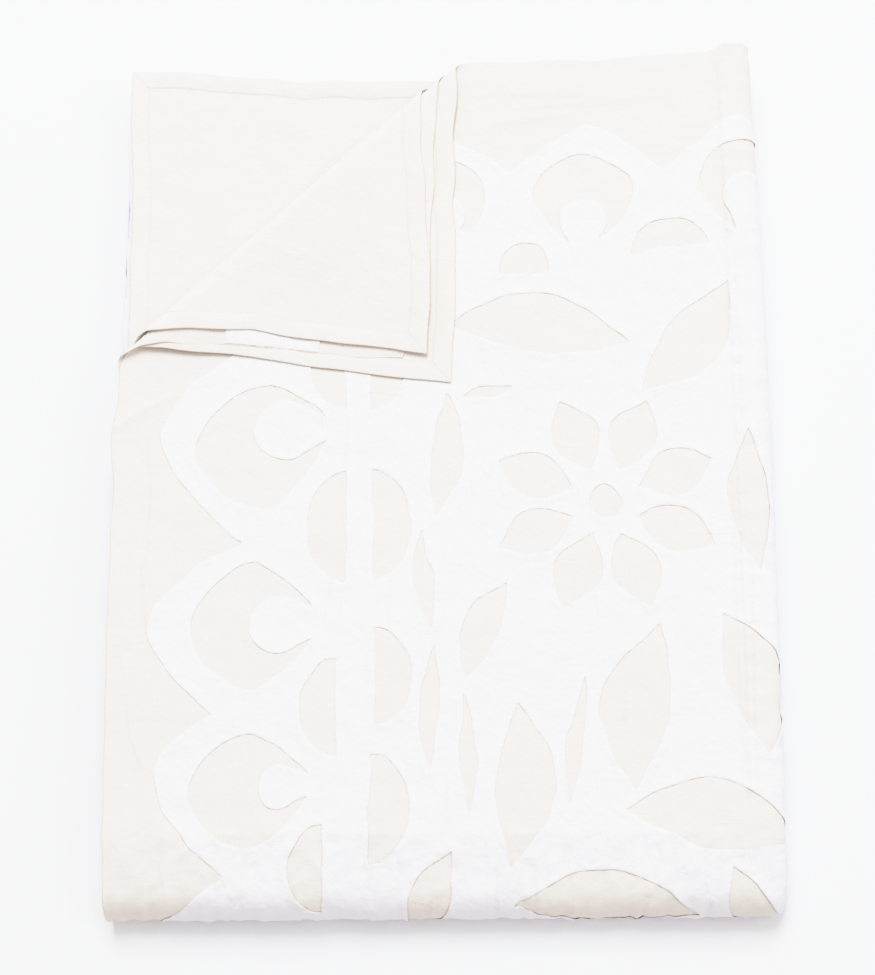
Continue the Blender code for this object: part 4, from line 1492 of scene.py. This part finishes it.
def studio_light():
    """The soft lights of the table, and much pale light from all round."""
    for light in STUDIO_LIGHTS:
        soft_light(*light)
    world = bpy.data.worlds.new("studio")
    world.use_nodes = True
    background = world.node_tree.nodes["Background"]
    background.inputs["Color"].default_value = (*AMBIENT_COLOUR, 1.0)
    background.inputs["Strength"].default_value = AMBIENT_STRENGTH
    bpy.context.scene.world = world


def film_tone(light):
    """Tone that the film gives to an amount of light."""
    return light if light < SHOULDER else 1 - (1 - SHOULDER) * math.exp((SHOULDER - light) / (1 - SHOULDER))


def film_light(tone):
    """Amount of light that the film shows as a tone."""
    return tone if tone < SHOULDER else SHOULDER - (1 - SHOULDER) * math.log((1 - tone) / (1 - SHOULDER))


def curve_point(curve, place, height, handle="AUTO"):
    """Put a point on a tone curve, or move its first or last point."""
    if 0 < place < 1:
        point = curve.points.new(place, height)
    else:
        point = curve.points[round(place) * (len(curve.points) - 1)]
        point.location = (place, height)
    point.handle_type = handle


def soft_highlights():
    """A film-like response: straight for the darker tones, with a long soft shoulder."""
    settings = bpy.context.scene.view_settings
    settings.view_transform = "Standard"
    settings.use_curve_mapping = True
    mapping = settings.curve_mapping
    mapping.white_level = (CURVE_WHITE, CURVE_WHITE, CURVE_WHITE)
    for share in CURVE_STATIONS:
        curve_point(mapping.curves[3], share, film_tone(share * CURVE_WHITE))
    for curve, warmth in zip(mapping.curves, WARMTH):
        for share in WARMTH_STATIONS:
            tone = film_tone(share * CURVE_WHITE)
            warmer = tone + warmth * tone ** 2 * (1 - tone) ** 2
            curve_point(curve, share, film_light(warmer) / CURVE_WHITE, "VECTOR")
    mapping.update()


def studio_camera():
    """The camera of the photo: high above the front edge, turned a little."""
    camera = in_scene("camera", bpy.data.cameras.new("camera"))
    camera.data.lens = CAMERA_LENS
    camera.data.sensor_width = SENSOR_WIDTH
    place = Matrix.Translation(AIM)
    for angle, axis in ((CAMERA_AZIMUTH, "Z"), (math.pi / 2 - CAMERA_ELEVATION, "X"), (CAMERA_ROLL, "Z")):
        place = place @ Matrix.Rotation(angle, 4, axis)
    camera.matrix_world = place @ Matrix.Translation((0, 0, CAMERA_DISTANCE))
    bpy.context.scene.camera = camera


S_ROWS = fold_rows(SIDE_FOLD, SIDE_BEND, FIRST_FOLD, FIRST_BEND, CLOTH_WIDTH, steps=8)
T_ROWS = fold_rows(FRONT_FOLD, FRONT_BEND, SECOND_FOLD, SECOND_BEND, CLOTH_LENGTH, steps=13)


def main():
    """Make the three pieces, hang them on the root, hide the solids that they replace, and set up the studio.
    """
    ground = make_ground()
    cutwork = make_cutwork()
    thread = sewing_thread()
    stitches = make_hem_stitches(thread)
    ground.data.materials.append(natural_cotton())
    cutwork.data.materials.append(white_cotton())
    if not stitches.data.materials:
        stitches.data.materials.append(thread)

    for piece in (ground, cutwork, stitches):
        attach(piece, "root")
    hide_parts("ground_cloth")
    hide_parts("cutwork_cloth")
    CLOTH_WIDTH - 2 * MARGIN_A
    CLOTH_LENGTH - 2 * MARGIN_B

    studio_floor()
    studio_light()
    soft_highlights()
    studio_camera()


main()
